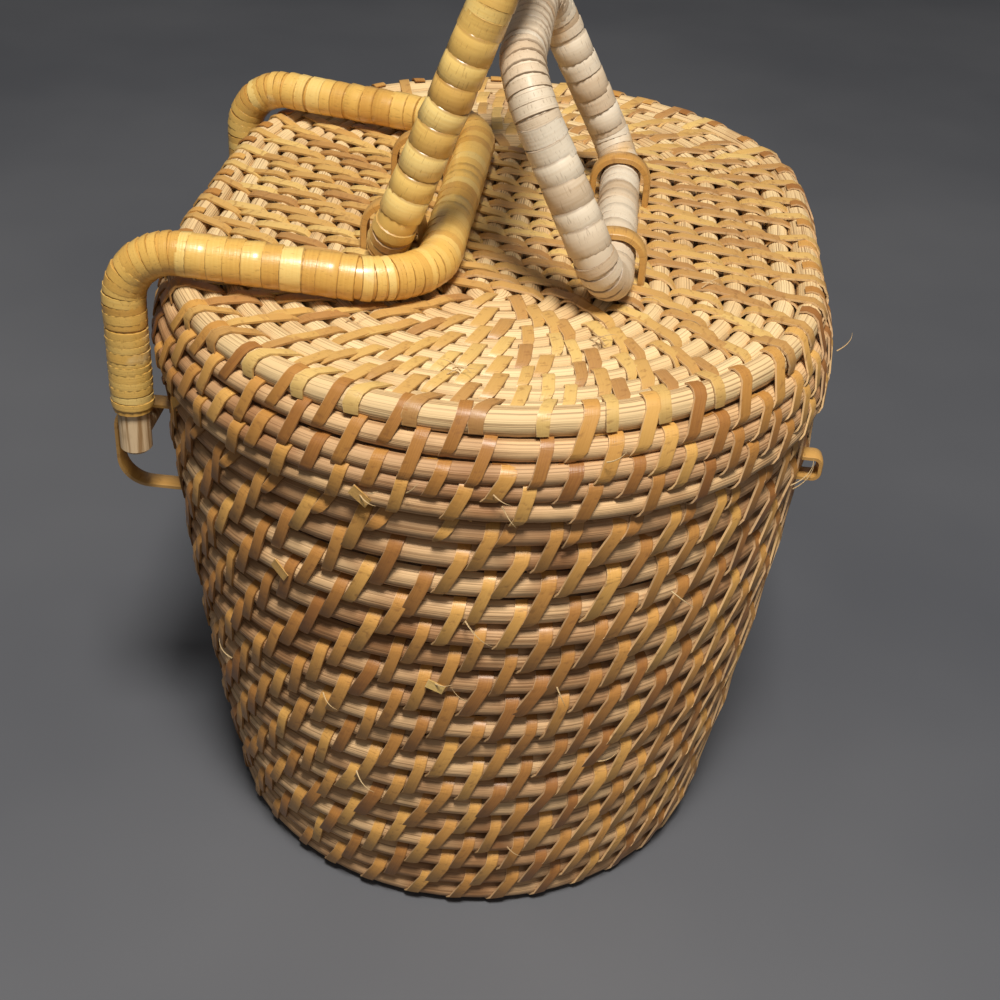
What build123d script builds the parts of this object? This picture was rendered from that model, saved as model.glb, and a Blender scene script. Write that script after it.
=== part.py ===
"""Lidded oval wicker basket with a slip-over lid, a hasp bail at its left side and two ring handles.

The frame stands on the middle of the base: X runs across the basket, Y along it and Z up.
"""
import math
import os

from build123d import *

# Oval that the basket and the lid share
straight_half = 30.0

# Basket wall of stacked rods
wall_height = 148.3
base_half_width = 74.0
shoulder_half_width = 91.3
wall_bulge = 2.6
wall_thickness = 5.6
wall_rows = 18
rod_depth = 2.4
rod_crest_share = 0.4
floor_thickness = 6.0

# Neck that the lid slips over
neck_height = 12.0
neck_thickness = 4.0
neck_clearance = 0.8
neck_draw = 2.2
neck_root = 9.0

# Lid
seat_gap = 0.4
skirt_height = 23.3
skirt_overhang = 1.9
skirt_thickness = 5.2
skirt_rows = 4
rim_inset = 6.3
rim_radius = 3.7
rim_turns_deg = (180.0, 135.0, 90.0, 45.0, 0.0, -45.0)
top_rise = 2.6
top_thickness = 6.0

# Rods of the lid's coiled top
coil_rows = 12
coil_straight_half = 52.0
coil_width = 4.6
coil_crest_share = 0.45
coil_root = 0.6
coil_facets = 10

# Wrapped poles of the bail and the rings
pole_radius = 5.7
pole_sides = 16
bend_facets = 6
pole_gap = 0.35

# Hasp bail
bail_near = -66.0
bail_far = 64.0
cross_near = -67.5
cross_far = 52.0
bail_skirt_gap = 0.6
bail_cross_reach = 14.6
bail_arm_rise = 3.0
bail_bend_radius = 15.0
bail_corner_radius = 20.0

# Bare ends of the bail's pole, with pins turned inward
end_radius = 4.3
end_tail = 4.6
end_bare = 13.0
end_spigot = 8.0
spigot_clearance = 0.1
pin_radius = 3.2
pin_length = 16.0
pin_drop = 20.6

# Ring handles
ring_near_play = 5.1
ring_far_play = 1.6
left_ring_place = -28.5
left_ring_height = 86.0
left_ring_lean_deg = 20.5
left_ring_corner_radius = 12.0
left_ring_top_radius = 17.0
right_ring_place = 31.0
right_ring_middle = -14.5
right_ring_half_length = 47.5
right_ring_draw = 7.5
right_ring_height = 59.0
right_ring_corner_radius = 11.0
right_ring_top_radius = 17.0
ring_rest_gap = 0.5

# Flat cane loops
cane_width = 5.4
cane_thickness = 1.2
cane_root = 3.0
slot_clearance = 0.15
loop_facets = 4
ring_loop_side_play = 1.6
ring_loop_top_play = 0.8
ring_loop_arch_share = 0.9
ring_loop_spacing_share = 0.58
right_loop_shift = 3.5

# Cane loops of the basket's sides
side_loop_inset = 10.0
side_loop_height = 26.0
side_loop_top_play = 1.0
side_loop_outer_play = 4.2
side_loop_radius = 8.0
spare_loop_reach = 5.0
spare_loop_height = 6.5
spare_loop_drop = 11.0
spare_loop_radius = 2.0

# Widths and heights that follow from the sizes above
skirt_half_width = shoulder_half_width + skirt_overhang
rim_half_width = shoulder_half_width - rim_inset
skirt_low = wall_height + seat_gap
rim_height = skirt_low + skirt_height
top_height = rim_height + top_rise
pole_height = top_height + pole_gap + pole_radius
pin_height = skirt_low - pin_drop
skirt_inner = skirt_half_width - skirt_thickness
neck_foot = skirt_inner - neck_clearance

# Place of the left ring between the bail's arms
left_ring_near = cross_near + 2 * pole_radius + ring_near_play
left_ring_far = cross_far - 2 * pole_radius - ring_far_play
left_ring_middle = (left_ring_near + left_ring_far) / 2
left_ring_half_length = (left_ring_far - left_ring_near) / 2


def oval_reach(half_width, along):
    """Distance across from the middle to an oval's edge at a place along it."""
    beyond = max(abs(along) - straight_half, 0.0)
    return math.sqrt(half_width ** 2 - beyond ** 2)


bail_across = -(oval_reach(skirt_half_width, min(abs(bail_near), abs(bail_far))) + bail_skirt_gap + pole_radius)


def wall_half_width(height):
    """Half width of the basket over its rods at a height."""
    share = height / wall_height
    taper = base_half_width + (shoulder_half_width - base_half_width) * share
    return taper + wall_bulge * 4 * share * (1 - share)


def flare_share(share):
    """Share of the skirt's flare that is reached at a share of the way down it."""
    return math.sin(math.pi / 2 * min(share * 2, 1.0))


def oval_solid(outline):
    """Solid that carries a half section, given from the middle outward, round the oval."""
    section = Plane.XZ * make_face(Polyline(*outline, close=True))
    far_end = Pos(0, straight_half, 0) * revolve(section, Axis.Z, 180)
    far_side = extrude(section, straight_half, dir=(0, 1, 0))
    far_half = far_end + far_side + mirror(far_side, Plane.YZ)
    return far_half + mirror(far_half, Plane.XZ)


def rounded_path(corners, radii, facets):
    """Points of a path whose inner corners are turned in short straight facets."""
    points = [Vector(*corners[0])]
    for before, corner, after, radius in zip(corners, corners[1:], corners[2:], radii):
        corner = Vector(*corner)
        inward = (Vector(*before) - corner).normalized()
        outward = (Vector(*after) - corner).normalized()
        turn = math.radians(180 - inward.get_angle(outward))
        reach = radius * math.tan(turn / 2)
        centre = corner + (inward + outward).normalized() * (radius / math.cos(turn / 2))
        start = corner + inward * reach - centre
        side = -inward
        for step in range(facets + 1):
            angle = turn * step / facets
            points.append(centre + start * math.cos(angle) + side * (radius * math.sin(angle)))
    points.append(Vector(*corners[-1]))
    return points


def bent_pole(points):
    """Round pole swept along a path of straight facets."""
    path = Polyline(*points)
    section = Plane(origin=path @ 0, z_dir=path % 0) * RegularPolygon(pole_radius, pole_sides)
    return sweep(section, path=path, transition=Transition.RIGHT)


def cane_band(points):
    """Flat cane strip bent along a path that lies across the basket."""
    path = Polyline(*points)
    section = Plane(origin=path @ 0, x_dir=(0, 1, 0), z_dir=path % 0) * Rectangle(cane_width, cane_thickness)
    return sweep(section, path=path, transition=Transition.RIGHT)


def cane_slot(root, mouth):
    """Slot that a straight cane end slips into, from its root to past the surface."""
    middle = (root + mouth) * 0.5
    reach = mouth - root
    width = cane_thickness + 2 * slot_clearance
    across = max(abs(reach.X), width)
    upward = max(abs(reach.Z), width)
    return Pos(*middle) * Box(across, cane_width + 2 * slot_clearance, upward)


def side_loop_path(side, along):
    """Path of a left cane loop that holds a bail pin."""
    high = pin_height + pin_radius + side_loop_top_play + cane_thickness / 2
    low = high - side_loop_height
    outer = abs(bail_across) + pin_radius + side_loop_outer_play + cane_thickness / 2
    high_root = oval_reach(wall_half_width(high), along) - cane_root
    low_root = oval_reach(wall_half_width(low), along) - cane_root
    corners = [(side * high_root, along, high), (side * outer, along, high)]
    corners += [(side * outer, along, low), (side * low_root, along, low)]
    return rounded_path(corners, [side_loop_radius] * 2, loop_facets)


def spare_loop_path(side, along):
    """Path of a right cane loop, flattened against the wall and holding nothing."""
    high = wall_height - spare_loop_drop
    low = high - spare_loop_height
    outer = oval_reach(wall_half_width(high), along) + spare_loop_reach
    high_root = oval_reach(wall_half_width(high), along) - cane_root
    low_root = oval_reach(wall_half_width(low), along) - cane_root
    corners = [(side * high_root, along, high), (side * outer, along, high)]
    corners += [(side * outer, along, low), (side * low_root, along, low)]
    return rounded_path(corners, [spare_loop_radius] * 2, loop_facets)


def ring_loop_path(place, along):
    """Path of a cane loop that holds a ring's lower bar to the lid."""
    span = pole_radius + ring_loop_side_play + cane_thickness / 2
    high = pole_height + pole_radius + ring_loop_top_play + cane_thickness / 2
    root = top_height - cane_root
    corners = [(place - span, along, root), (place - span, along, high)]
    corners += [(place + span, along, high), (place + span, along, root)]
    return rounded_path(corners, [span * ring_loop_arch_share] * 2, loop_facets)


def slots_of(path):
    """Both slots of a loop in what carries it."""
    return cane_slot(path[0], path[1]) + cane_slot(path[-1], path[-2])


def basket_outline():
    """Half section of the basket: floor, ridged wall, shoulder and neck."""
    pitch = wall_height / wall_rows
    outline = [(0, 0)]
    for row in range(wall_rows):
        outline.append((wall_half_width(row * pitch) - rod_depth, row * pitch))
        for side in (-1, 1):
            height = (row + 0.5 + side * rod_crest_share / 2) * pitch
            outline.append((wall_half_width(height), height))
    neck_top = wall_height + neck_height
    root = wall_height - neck_root
    outline.append((shoulder_half_width - rod_depth, wall_height))
    outline.append((neck_foot, wall_height))
    outline.append((neck_foot - neck_draw, neck_top))
    outline.append((neck_foot - neck_draw - neck_thickness, neck_top))
    outline.append((neck_foot - neck_thickness, wall_height))
    outline.append((wall_half_width(root) - wall_thickness, root))
    outline.append((wall_half_width(wall_height / 2) - wall_thickness, wall_height / 2))
    outline.append((wall_half_width(floor_thickness) - wall_thickness, floor_thickness))
    outline.append((0, floor_thickness))
    return outline


def lid_outline():
    """Half section of the lid: flat plate under the coil, rim rod and flaring skirt."""
    outline = [(0, rim_height)]
    for turn in rim_turns_deg:
        angle = math.radians(turn)
        outline.append((rim_half_width + rim_radius * math.cos(angle), rim_height + rim_radius * math.sin(angle)))
    start_width, start_height = outline[-1]
    flare = skirt_half_width - start_width
    down_pitch = (start_height - skirt_low) / skirt_rows
    for row in range(skirt_rows):
        for side in (-1, 1):
            steps = row + 0.5 + side * rod_crest_share / 2
            width = start_width + flare * flare_share(steps / skirt_rows)
            outline.append((width, start_height - steps * down_pitch))
        foot = start_width + flare * flare_share((row + 1) / skirt_rows)
        outline.append((foot - rod_depth, start_height - (row + 1) * down_pitch))
    underside = top_height - top_thickness
    outline.append((skirt_inner, skirt_low))
    outline.append((rim_half_width, underside))
    outline.append((0, underside))
    return outline


def coil_rod(row):
    """Rod of the coiled top, closer to its neighbours at the round ends than along the sides."""
    share = (row + 0.5) / coil_rows
    across = (rim_half_width - rim_radius) * share
    straight = coil_straight_half + (straight_half - coil_straight_half) * share
    points = [(across, 0, rim_height)]
    for step in range(coil_facets + 1):
        angle = math.pi * step / coil_facets
        points.append((across * math.cos(angle), straight + across * math.sin(angle), rim_height))
    points.append((-across, 0, rim_height))
    half_width = coil_width / 2
    crest = half_width * coil_crest_share
    outline = [(-half_width, -coil_root), (-half_width, 0), (-crest, top_rise)]
    outline += [(-reach, height) for reach, height in reversed(outline)]
    path = Polyline(*points)
    section = Plane(origin=path @ 0, x_dir=(-1, 0, 0), z_dir=path % 0) * make_face(Polyline(*outline, close=True))
    half = sweep(section, path=path, transition=Transition.RIGHT)
    return half + mirror(half, Plane.XZ)


def make_lid():
    """Lid with the rods of its coiled top."""
    lid = oval_solid(lid_outline())
    for row in range(coil_rows):
        lid += coil_rod(row)
    return lid


def make_bail():
    """Wrapped part of the bail, with a socket for the bare pole at each end."""
    wrap_end = pin_height - end_tail + end_bare
    cross = left_ring_place + bail_cross_reach
    bend_height = pole_height + bail_arm_rise
    corners = [(bail_across, bail_near, wrap_end), (bail_across, bail_near, bend_height)]
    corners += [(cross, cross_near, pole_height), (cross, cross_far, pole_height)]
    corners += [(bail_across, bail_far, bend_height), (bail_across, bail_far, wrap_end)]
    radii = [bail_bend_radius, bail_corner_radius, bail_corner_radius, bail_bend_radius]
    bail = bent_pole(rounded_path(corners, radii, bend_facets))
    socket = Cylinder(end_radius + spigot_clearance, 2 * (end_spigot + spigot_clearance))
    for along in (bail_near, bail_far):
        bail -= Pos(bail_across, along, wrap_end) * socket
    return bail


def make_bail_end(along, inward):
    """Bare end of the bail's pole, with the pin that its loop holds."""
    foot = pin_height - end_tail
    length = end_bare + end_spigot
    pole = Pos(bail_across, along, foot + length / 2) * Cylinder(end_radius, length)
    pole = chamfer(pole.edges().sort_by(Axis.Z)[0], end_radius - pin_radius)
    pin = Pos(bail_across, along + inward * pin_length / 2, pin_height)
    return pole + pin * Rot(90, 0, 0) * Cylinder(pin_radius, pin_length)


def make_ring(half_length, draw, height, corner_radius, top_radius):
    """Upright wrapped ring about the middle of its lower bar, standing in the YZ plane."""
    corners = [(0, 0, 0), (0, half_length, 0), (0, half_length - draw, height), (0, 0, height)]
    half = bent_pole(rounded_path(corners, [corner_radius, top_radius], bend_facets))
    return half + mirror(half, Plane.XZ)


def right_ring_lean_deg():
    """Lean at which the right ring's upper bar meets the left ring's legs, less the rest gap."""
    lean = math.radians(left_ring_lean_deg)
    apart = (right_ring_place - left_ring_place) * math.cos(lean) - 2 * pole_radius - ring_rest_gap
    return math.degrees(math.asin(apart / right_ring_height) - lean)


def build_nodes():
    """Every piece of the basket by its name."""
    side_near = bail_near + side_loop_inset
    side_far = bail_far - side_loop_inset
    left_spacing = left_ring_half_length * ring_loop_spacing_share
    right_spacing = right_ring_half_length * ring_loop_spacing_share
    left_near = left_ring_middle - left_spacing
    left_far = left_ring_middle + left_spacing
    right_near = right_ring_middle + right_loop_shift - right_spacing
    right_far = right_ring_middle + right_loop_shift + right_spacing
    wall_paths = {
        "side_loop_left_near": side_loop_path(-1, side_near),
        "side_loop_left_far": side_loop_path(-1, side_far),
        "side_loop_right_near": spare_loop_path(1, side_near),
        "side_loop_right_far": spare_loop_path(1, side_far),
    }
    lid_paths = {
        "ring_loop_left_near": ring_loop_path(left_ring_place, left_near),
        "ring_loop_left_far": ring_loop_path(left_ring_place, left_far),
        "ring_loop_right_near": ring_loop_path(right_ring_place, right_near),
        "ring_loop_right_far": ring_loop_path(right_ring_place, right_far),
    }
    nodes = {"basket_body": oval_solid(basket_outline()), "lid": make_lid()}
    for carrier, paths in (("basket_body", wall_paths), ("lid", lid_paths)):
        for name, path in paths.items():
            nodes[carrier] -= slots_of(path)
            nodes[name] = cane_band(path)
    nodes["bail"] = make_bail()
    nodes["bail_end_near"] = make_bail_end(bail_near, 1)
    nodes["bail_end_far"] = make_bail_end(bail_far, -1)
    left_ring = make_ring(left_ring_half_length, 0, left_ring_height, left_ring_corner_radius, left_ring_top_radius)
    right_ring = make_ring(right_ring_half_length, right_ring_draw, right_ring_height,
                           right_ring_corner_radius, right_ring_top_radius)
    nodes["left_ring"] = Pos(left_ring_place, left_ring_middle, pole_height) * Rot(0, left_ring_lean_deg, 0) * left_ring
    right_place = Pos(right_ring_place, right_ring_middle, pole_height)
    nodes["right_ring"] = right_place * Rot(0, -right_ring_lean_deg(), 0) * right_ring
    return nodes


os.makedirs("parts", exist_ok=True)
for node_name, node in build_nodes().items():
    export_step(node, f"parts/{node_name}.step")
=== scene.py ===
"""Looks of the lidded wicker basket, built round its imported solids.

The frame is that of the solids: metres, X across the basket, Y along it and Z up from the middle of its base.
Sizes are written in millimetres and turned to metres by MM.
"""

import logging
import math
import random
from dataclasses import astuple, dataclass, field, replace
from enum import Enum
from typing import NamedTuple

import bmesh
import bpy
from mathutils import Matrix, Quaternion, Vector


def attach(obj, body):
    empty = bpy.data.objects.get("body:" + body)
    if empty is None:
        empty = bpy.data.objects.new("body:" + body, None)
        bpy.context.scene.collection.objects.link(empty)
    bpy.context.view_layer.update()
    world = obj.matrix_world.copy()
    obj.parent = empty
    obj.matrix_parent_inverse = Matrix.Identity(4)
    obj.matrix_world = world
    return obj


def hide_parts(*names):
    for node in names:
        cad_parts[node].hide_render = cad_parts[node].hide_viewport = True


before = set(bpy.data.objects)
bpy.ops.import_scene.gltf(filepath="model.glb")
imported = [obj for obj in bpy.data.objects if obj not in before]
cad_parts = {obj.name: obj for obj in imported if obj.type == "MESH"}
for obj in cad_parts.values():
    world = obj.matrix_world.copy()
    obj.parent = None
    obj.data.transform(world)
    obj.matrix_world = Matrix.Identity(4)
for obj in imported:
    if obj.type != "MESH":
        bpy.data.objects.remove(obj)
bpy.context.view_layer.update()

LOG = logging.getLogger("basket")
MM = 0.001
UP = Vector((0.0, 0.0, 1.0))
ALONG = Vector((0.0, 1.0, 0.0))
ACROSS = Vector((1.0, 0.0, 0.0))
SHARP_ANGLE = math.radians(50.0)
COAT_ROUGHNESS = 0.25
SHELL_STEPS = 32
SHELL_TURNS = [part + step / SHELL_STEPS for part in range(4) for step in range(SHELL_STEPS)]

Span = tuple[float, float]
Triple = tuple[float, float, float]
Colour = Triple
Stop = tuple[float, Colour]
RodLine = tuple[list[Vector], list[float], bool]
BentPath = list[tuple[Vector, float]]
Socket = bpy.types.NodeSocket
Material = bpy.types.Material
Mesh = bpy.types.Mesh
Piece = bpy.types.Object


class Face(Enum):
    """Face of a woven wall that a lashing lies on."""

    OUTSIDE = 1
    INSIDE = -1


class Body(Enum):
    """Moving bodies of the basket."""

    BASKET = "basket"
    LID = "lid"
    LEFT_RING = "left_ring"
    RIGHT_RING = "right_ring"


class Grain(NamedTuple):
    """Noise drawn out along some axes: its stretch along each, its scale and its finer layers."""

    stretch: Triple
    scale: float
    detail: float


class Board:
    """Board on which a material's nodes are wired."""

    def __init__(self, name: str) -> None:
        """Starts a material with only its shader.

        Args:
            name: The material's name.
        """
        self.material = bpy.data.materials.new(name)
        self.material.use_nodes = True
        self.tree = self.material.node_tree
        self.shader = next(n for n in self.tree.nodes if n.type == "BSDF_PRINCIPLED")

    def add(self, kind: str, **settings: object) -> bpy.types.Node:
        """Adds a node.

        Args:
            kind: The node's type.
            settings: Its own settings, by name.

        Returns:
            The node.
        """
        node = self.tree.nodes.new(kind)
        for name, value in settings.items():
            setattr(node, name, value)
        return node

    def feed(self, socket: Socket, value: object) -> None:
        """Links a socket to another or sets its value.

        Args:
            socket: The input socket.
            value: An output socket, a number or a colour.
        """
        if isinstance(value, Socket):
            self.tree.links.new(value, socket)
        elif socket.type == "RGBA":
            socket.default_value = (*value, 1.0)
        else:
            socket.default_value = value

    def place(self) -> Socket:
        """Object coordinates."""
        return self.add("ShaderNodeTexCoord").outputs["Object"]

    def attribute(self, name: str, part: str) -> Socket:
        """Attribute of the piece's own mesh, as a vector or a factor."""
        return self.add("ShaderNodeAttribute", attribute_name=name).outputs[part]

    def work(self, kind: str, operation: str, *values: object) -> Socket:
        """Number or vector worked out from others.

        Args:
            kind: Type of the node that works it out.
            operation: The operation's name.
            values: Its numbers, vectors or sockets.

        Returns:
            The result's socket.
        """
        node = self.add(kind, operation=operation)
        for socket, value in zip(node.inputs, values):
            self.feed(socket, value)
        return node.outputs[0]

    def sums(self, operation: str, *values: object) -> Socket:
        """Number worked out from others."""
        return self.work("ShaderNodeMath", operation, *values)

    def scaled(self, vector: Socket, factors: Triple) -> Socket:
        """Vector times a factor along each axis."""
        return self.work("ShaderNodeVectorMath", "MULTIPLY", vector, factors)

    def split(self, vector: Socket) -> tuple[Socket, Socket]:
        """First two parts of a vector.

        Args:
            vector: The vector.

        Returns:
            The sockets of its X and its Y.
        """
        node = self.add("ShaderNodeSeparateXYZ")
        self.feed(node.inputs[0], vector)
        return node.outputs["X"], node.outputs["Y"]

    def noise(self, vector: Socket, grain: Grain, shift: Socket | None = None) -> Socket:
        """Soft noise from nought to one.

        Args:
            vector: The place that it is read at.
            grain: How it is drawn out, its scale and its finer layers.
            shift: Vector that is added to the drawn-out place.

        Returns:
            The noise's socket.
        """
        spot = self.scaled(vector, grain.stretch)
        if shift is not None:
            spot = self.work("ShaderNodeVectorMath", "ADD", spot, shift)
        node = self.add("ShaderNodeTexNoise")
        self.feed(node.inputs["Vector"], spot)
        node.inputs["Scale"].default_value = grain.scale
        node.inputs["Detail"].default_value = grain.detail
        return node.outputs["Fac"]

    def ramp(self, share: Socket, stops: tuple[Stop, ...]) -> Socket:
        """Colour picked along a row of stops.

        Args:
            share: Where on the row the colour is picked.
            stops: Places and colours.

        Returns:
            The colour's socket.
        """
        node = self.add("ShaderNodeValToRGB")
        elements = node.color_ramp.elements
        while len(elements) < len(stops):
            elements.new(1.0)
        for element, (place, colour) in zip(elements, stops):
            element.position = place
            element.color = (*colour, 1.0)
        self.feed(node.inputs["Fac"], share)
        return node.outputs["Color"]

    def level(self, share: Socket, span: Span, most: float = 1.0) -> Socket:
        """Share that rises along a span.

        Args:
            share: The number to read.
            span: Where the rise starts and where it ends.
            most: How far it rises from nought.

        Returns:
            The share's socket.
        """
        node = self.add("ShaderNodeMapRange")
        self.feed(node.inputs["Value"], share)
        node.inputs["From Min"].default_value, node.inputs["From Max"].default_value = span
        node.inputs["To Max"].default_value = most
        return node.outputs["Result"]

    def mix(self, share: object, first: object, second: object) -> Socket:
        """Mix of two colours.

        Args:
            share: Share of the second colour.
            first: The first colour.
            second: The second colour.

        Returns:
            The colour's socket.
        """
        node = self.add("ShaderNodeMix", data_type="RGBA")
        for identifier, value in (("Factor_Float", share), ("A_Color", first), ("B_Color", second)):
            self.feed(next(s for s in node.inputs if s.identifier == identifier), value)
        return next(s for s in node.outputs if s.identifier == "Result_Color")

    def raise_surface(self, height: Socket, bump: Span) -> None:
        """Gives the shader a bump.

        Args:
            height: The height to read.
            bump: How strongly it shows, and its depth in metres.
        """
        node = self.add("ShaderNodeBump")
        node.inputs["Strength"].default_value, node.inputs["Distance"].default_value = bump
        self.feed(node.inputs["Height"], height)
        self.feed(self.shader.inputs["Normal"], node.outputs["Normal"])

    def coat(self, colour: object, roughness: object, gloss: float = 0.0) -> Material:
        """Finishes the shader.

        Args:
            colour: Base colour.
            roughness: Roughness, plain or from nodes.
            gloss: Weight of the clear coat.

        Returns:
            The material.
        """
        self.feed(self.shader.inputs["Base Color"], colour)
        self.feed(self.shader.inputs["Roughness"], roughness)
        self.shader.inputs["Coat Weight"].default_value = gloss
        self.shader.inputs["Coat Roughness"].default_value = COAT_ROUGHNESS
        return self.material


@dataclass(frozen=True)
class RodFinish:
    """Split rattan rod: pale straw with fine dark grain lines and brown stains."""

    name: str
    pale: Colour
    warm: Colour
    warm_span: Span = (0.7, 1.4)
    stain: Colour = (0.33, 0.15, 0.055)
    stain_span: Span = (0.46, 0.72)
    patches: Grain = Grain((1.0, 1.0, 1.0), 34.0, 4.0)
    line: Colour = (0.22, 0.10, 0.035)
    line_span: Span = (0.47, 0.36)
    line_share: float = 0.75
    lines: Grain = Grain((5.5, 5.5, 5.5), 1.6, 4.0)
    drift: Triple = (9.0, 9.0, 9.0)
    bump: Span = (0.45, 0.5 * MM)
    roughness: float = 0.62

    def make(self) -> Material:
        """Wires the material.

        Returns:
            The material.
        """
        board = Board(self.name)
        drift = board.scaled(board.place(), self.drift)
        lines = board.noise(board.attribute("section", "Vector"), self.lines, drift)
        patches = board.noise(board.place(), self.patches)
        warmth = board.sums("ADD", board.attribute("tint", "Fac"), patches)
        base = board.mix(board.level(warmth, self.warm_span), self.pale, self.warm)
        stained = board.mix(board.level(patches, self.stain_span), base, self.stain)
        board.raise_surface(lines, self.bump)
        lined = board.mix(board.level(lines, self.line_span, self.line_share), stained, self.line)
        return board.coat(lined, self.roughness)


@dataclass(frozen=True)
class CaneFinish:
    """Flat cane: honey to brown from strip to strip, streaked, with a pale cut edge, and painted shade on its
    other edge and its lower end.
    """

    name: str
    tones: tuple[Stop, ...]
    gloss: float = 0.15
    roughness: float = 0.45
    # shade and dark: painted shade, laid on the ties' right edge and lower end
    shade: float = 0.3
    dark: Colour = (0.16, 0.07, 0.02)
    edge_span: Span = (0.8, 1.0)
    low_span: Span = (0.45, 1.0)
    cut: Colour = (0.76, 0.56, 0.33)
    cut_share: float = 0.55
    cut_span: Span = (-0.9, -1.0)
    line: Colour = (0.24, 0.10, 0.03)
    line_share: float = 0.45
    line_span: Span = (0.42, 0.30)
    streaks: Grain = Grain((4.0, 0.8, 0.0), 1.5, 3.0)
    streak_tone: Span = (0.4, -0.2)
    lines: Grain = Grain((0.5, 26.0, 0.0), 1.3, 2.0)
    shift: Triple = (60.0, 60.0, 60.0)
    bump: Span = (0.25, 0.3 * MM)

    def make(self) -> Material:
        """Wires the material.

        Returns:
            The material.
        """
        board = Board(self.name)
        strip = board.attribute("strip", "Vector")
        across, along = board.split(strip)
        shift = board.scaled(board.place(), self.shift)
        streaks = board.noise(strip, self.streaks, shift)
        lines = board.noise(strip, self.lines, shift)
        drawn = board.sums("MULTIPLY_ADD", streaks, *self.streak_tone)
        tone = board.sums("ADD", board.attribute("tint", "Fac"), drawn)
        # Painted shade: the right edge and the lower end are drawn towards the dark colour by the share
        # 'shade'.
        edge = board.level(across, self.edge_span, self.shade)
        low = board.level(along, self.low_span, self.shade)
        shaded = board.mix(board.sums("MAXIMUM", edge, low), board.ramp(tone, self.tones), self.dark)
        edged = board.mix(board.level(across, self.cut_span, self.cut_share), shaded, self.cut)
        lined = board.mix(board.level(lines, self.line_span, self.line_share), edged, self.line)
        board.raise_surface(board.sums("ADD", streaks, lines), self.bump)
        return board.coat(lined, self.roughness, self.gloss)


@dataclass(frozen=True)
class WrapFinish:
    """Cane wound round a pole, a band to each turn, with dark seams and worn patches."""

    name: str
    tones: tuple[Stop, ...]
    seam: Colour
    worn: Colour
    worn_span: Span
    gloss: float
    roughness: float
    rough_play: float = 0.2
    patches: Grain = Grain((1.0, 1.0, 1.0), 55.0, 4.0)
    edge_span: Span = (0.78, 1.0)
    edge_share: float = 0.85
    crack_span: Span = (0.38, 0.30)
    crack_share: float = 0.35
    streaks: Grain = Grain((3.5, 2.0, 0.0), 1.4, 3.0)
    streak_tone: Span = (0.6, -0.3)
    cracks: Grain = Grain((1.0, 60.0, 0.0), 1.2, 2.0)
    shift: Triple = (45.0, 45.0, 45.0)
    bump: Span = (0.2, 0.3 * MM)

    def make(self) -> Material:
        """Wires the material.

        Returns:
            The material.
        """
        board = Board(self.name)
        strip = board.attribute("strip", "Vector")
        across = board.sums("ABSOLUTE", board.split(strip)[0])
        shift = board.scaled(board.place(), self.shift)
        streaks = board.noise(strip, self.streaks, shift)
        cracks = board.noise(strip, self.cracks, shift)
        patches = board.noise(board.place(), self.patches)
        drawn = board.sums("MULTIPLY_ADD", streaks, *self.streak_tone)
        tone = board.sums("ADD", board.attribute("tint", "Fac"), drawn)
        worn = board.mix(board.level(patches, self.worn_span), board.ramp(tone, self.tones), self.worn)
        cracked = board.mix(board.level(cracks, self.crack_span, self.crack_share), worn, self.seam)
        seamed = board.mix(board.level(across, self.edge_span, self.edge_share), cracked, self.seam)
        board.raise_surface(board.sums("ADD", streaks, cracks), self.bump)
        rough = board.sums("MULTIPLY_ADD", patches, self.rough_play, self.roughness - self.rough_play / 2)
        return board.coat(seamed, rough, self.gloss)


@dataclass(frozen=True)
class PlainFinish:
    """Surface of two tones with a grain or clouds, perhaps soiled in patches."""

    name: str
    base: Colour
    mark: Colour
    grain: Grain
    span: Span
    roughness: float
    bump: Span | None = None
    soil: Colour | None = None
    soil_span: Span = (0.5, 0.8)
    patches: Grain = Grain((1.0, 1.0, 1.0), 90.0, 3.0)

    def make(self) -> Material:
        """Wires the material.

        Returns:
            The material.
        """
        board = Board(self.name)
        grain = board.noise(board.place(), self.grain)
        colour = board.mix(board.level(grain, self.span), self.base, self.mark)
        if self.soil:
            patches = board.noise(board.place(), self.patches)
            colour = board.mix(board.level(patches, self.soil_span), colour, self.soil)
        if self.bump:
            board.raise_surface(grain, self.bump)
        return board.coat(colour, self.roughness)


Finish = RodFinish | CaneFinish | WrapFinish | PlainFinish
BODY_ROD = RodFinish("body_rod", pale=(0.74, 0.485, 0.25), warm=(0.52, 0.30, 0.145))
# Darker copy of the body's rod for the skirt: painted shade under the rim.
SHADED_SKIRT_ROD = RodFinish("skirt_rod", pale=(0.68, 0.44, 0.22), warm=(0.46, 0.26, 0.125))
LID_ROD = RodFinish("lid_rod", pale=(0.80, 0.605, 0.33), warm=(0.69, 0.475, 0.235), stain_span=(0.56, 0.82))
# Near-black sheet inside the weave: painted shade, seen through the gaps between rods.
WEAVE_SHADE_SHEET = PlainFinish(
    name="weave_lining",
    base=(0.045, 0.021, 0.008),
    mark=(0.14, 0.07, 0.024),
    grain=Grain((260.0, 260.0, 60.0), 1.0, 2.0),
    span=(0.42, 0.62),
    roughness=0.75,
    bump=(0.5, 0.6 * MM),
)
BARE_POLE = PlainFinish(
    name="bare_pole",
    base=(0.72, 0.53, 0.32),
    mark=(0.36, 0.21, 0.09),
    grain=Grain((900.0, 900.0, 45.0), 1.0, 4.0),
    span=(0.56, 0.38),
    roughness=0.6,
    bump=(0.4, 0.4 * MM),
    soil=(0.40, 0.26, 0.13),
)
STUDIO_FLOOR = PlainFinish(
    name="studio_floor",
    base=(0.075, 0.08, 0.095),
    mark=(0.12, 0.125, 0.14),
    grain=Grain((1.0, 1.0, 1.0), 2.5, 4.0),
    span=(0.35, 0.7),
    roughness=0.7,
)
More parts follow.
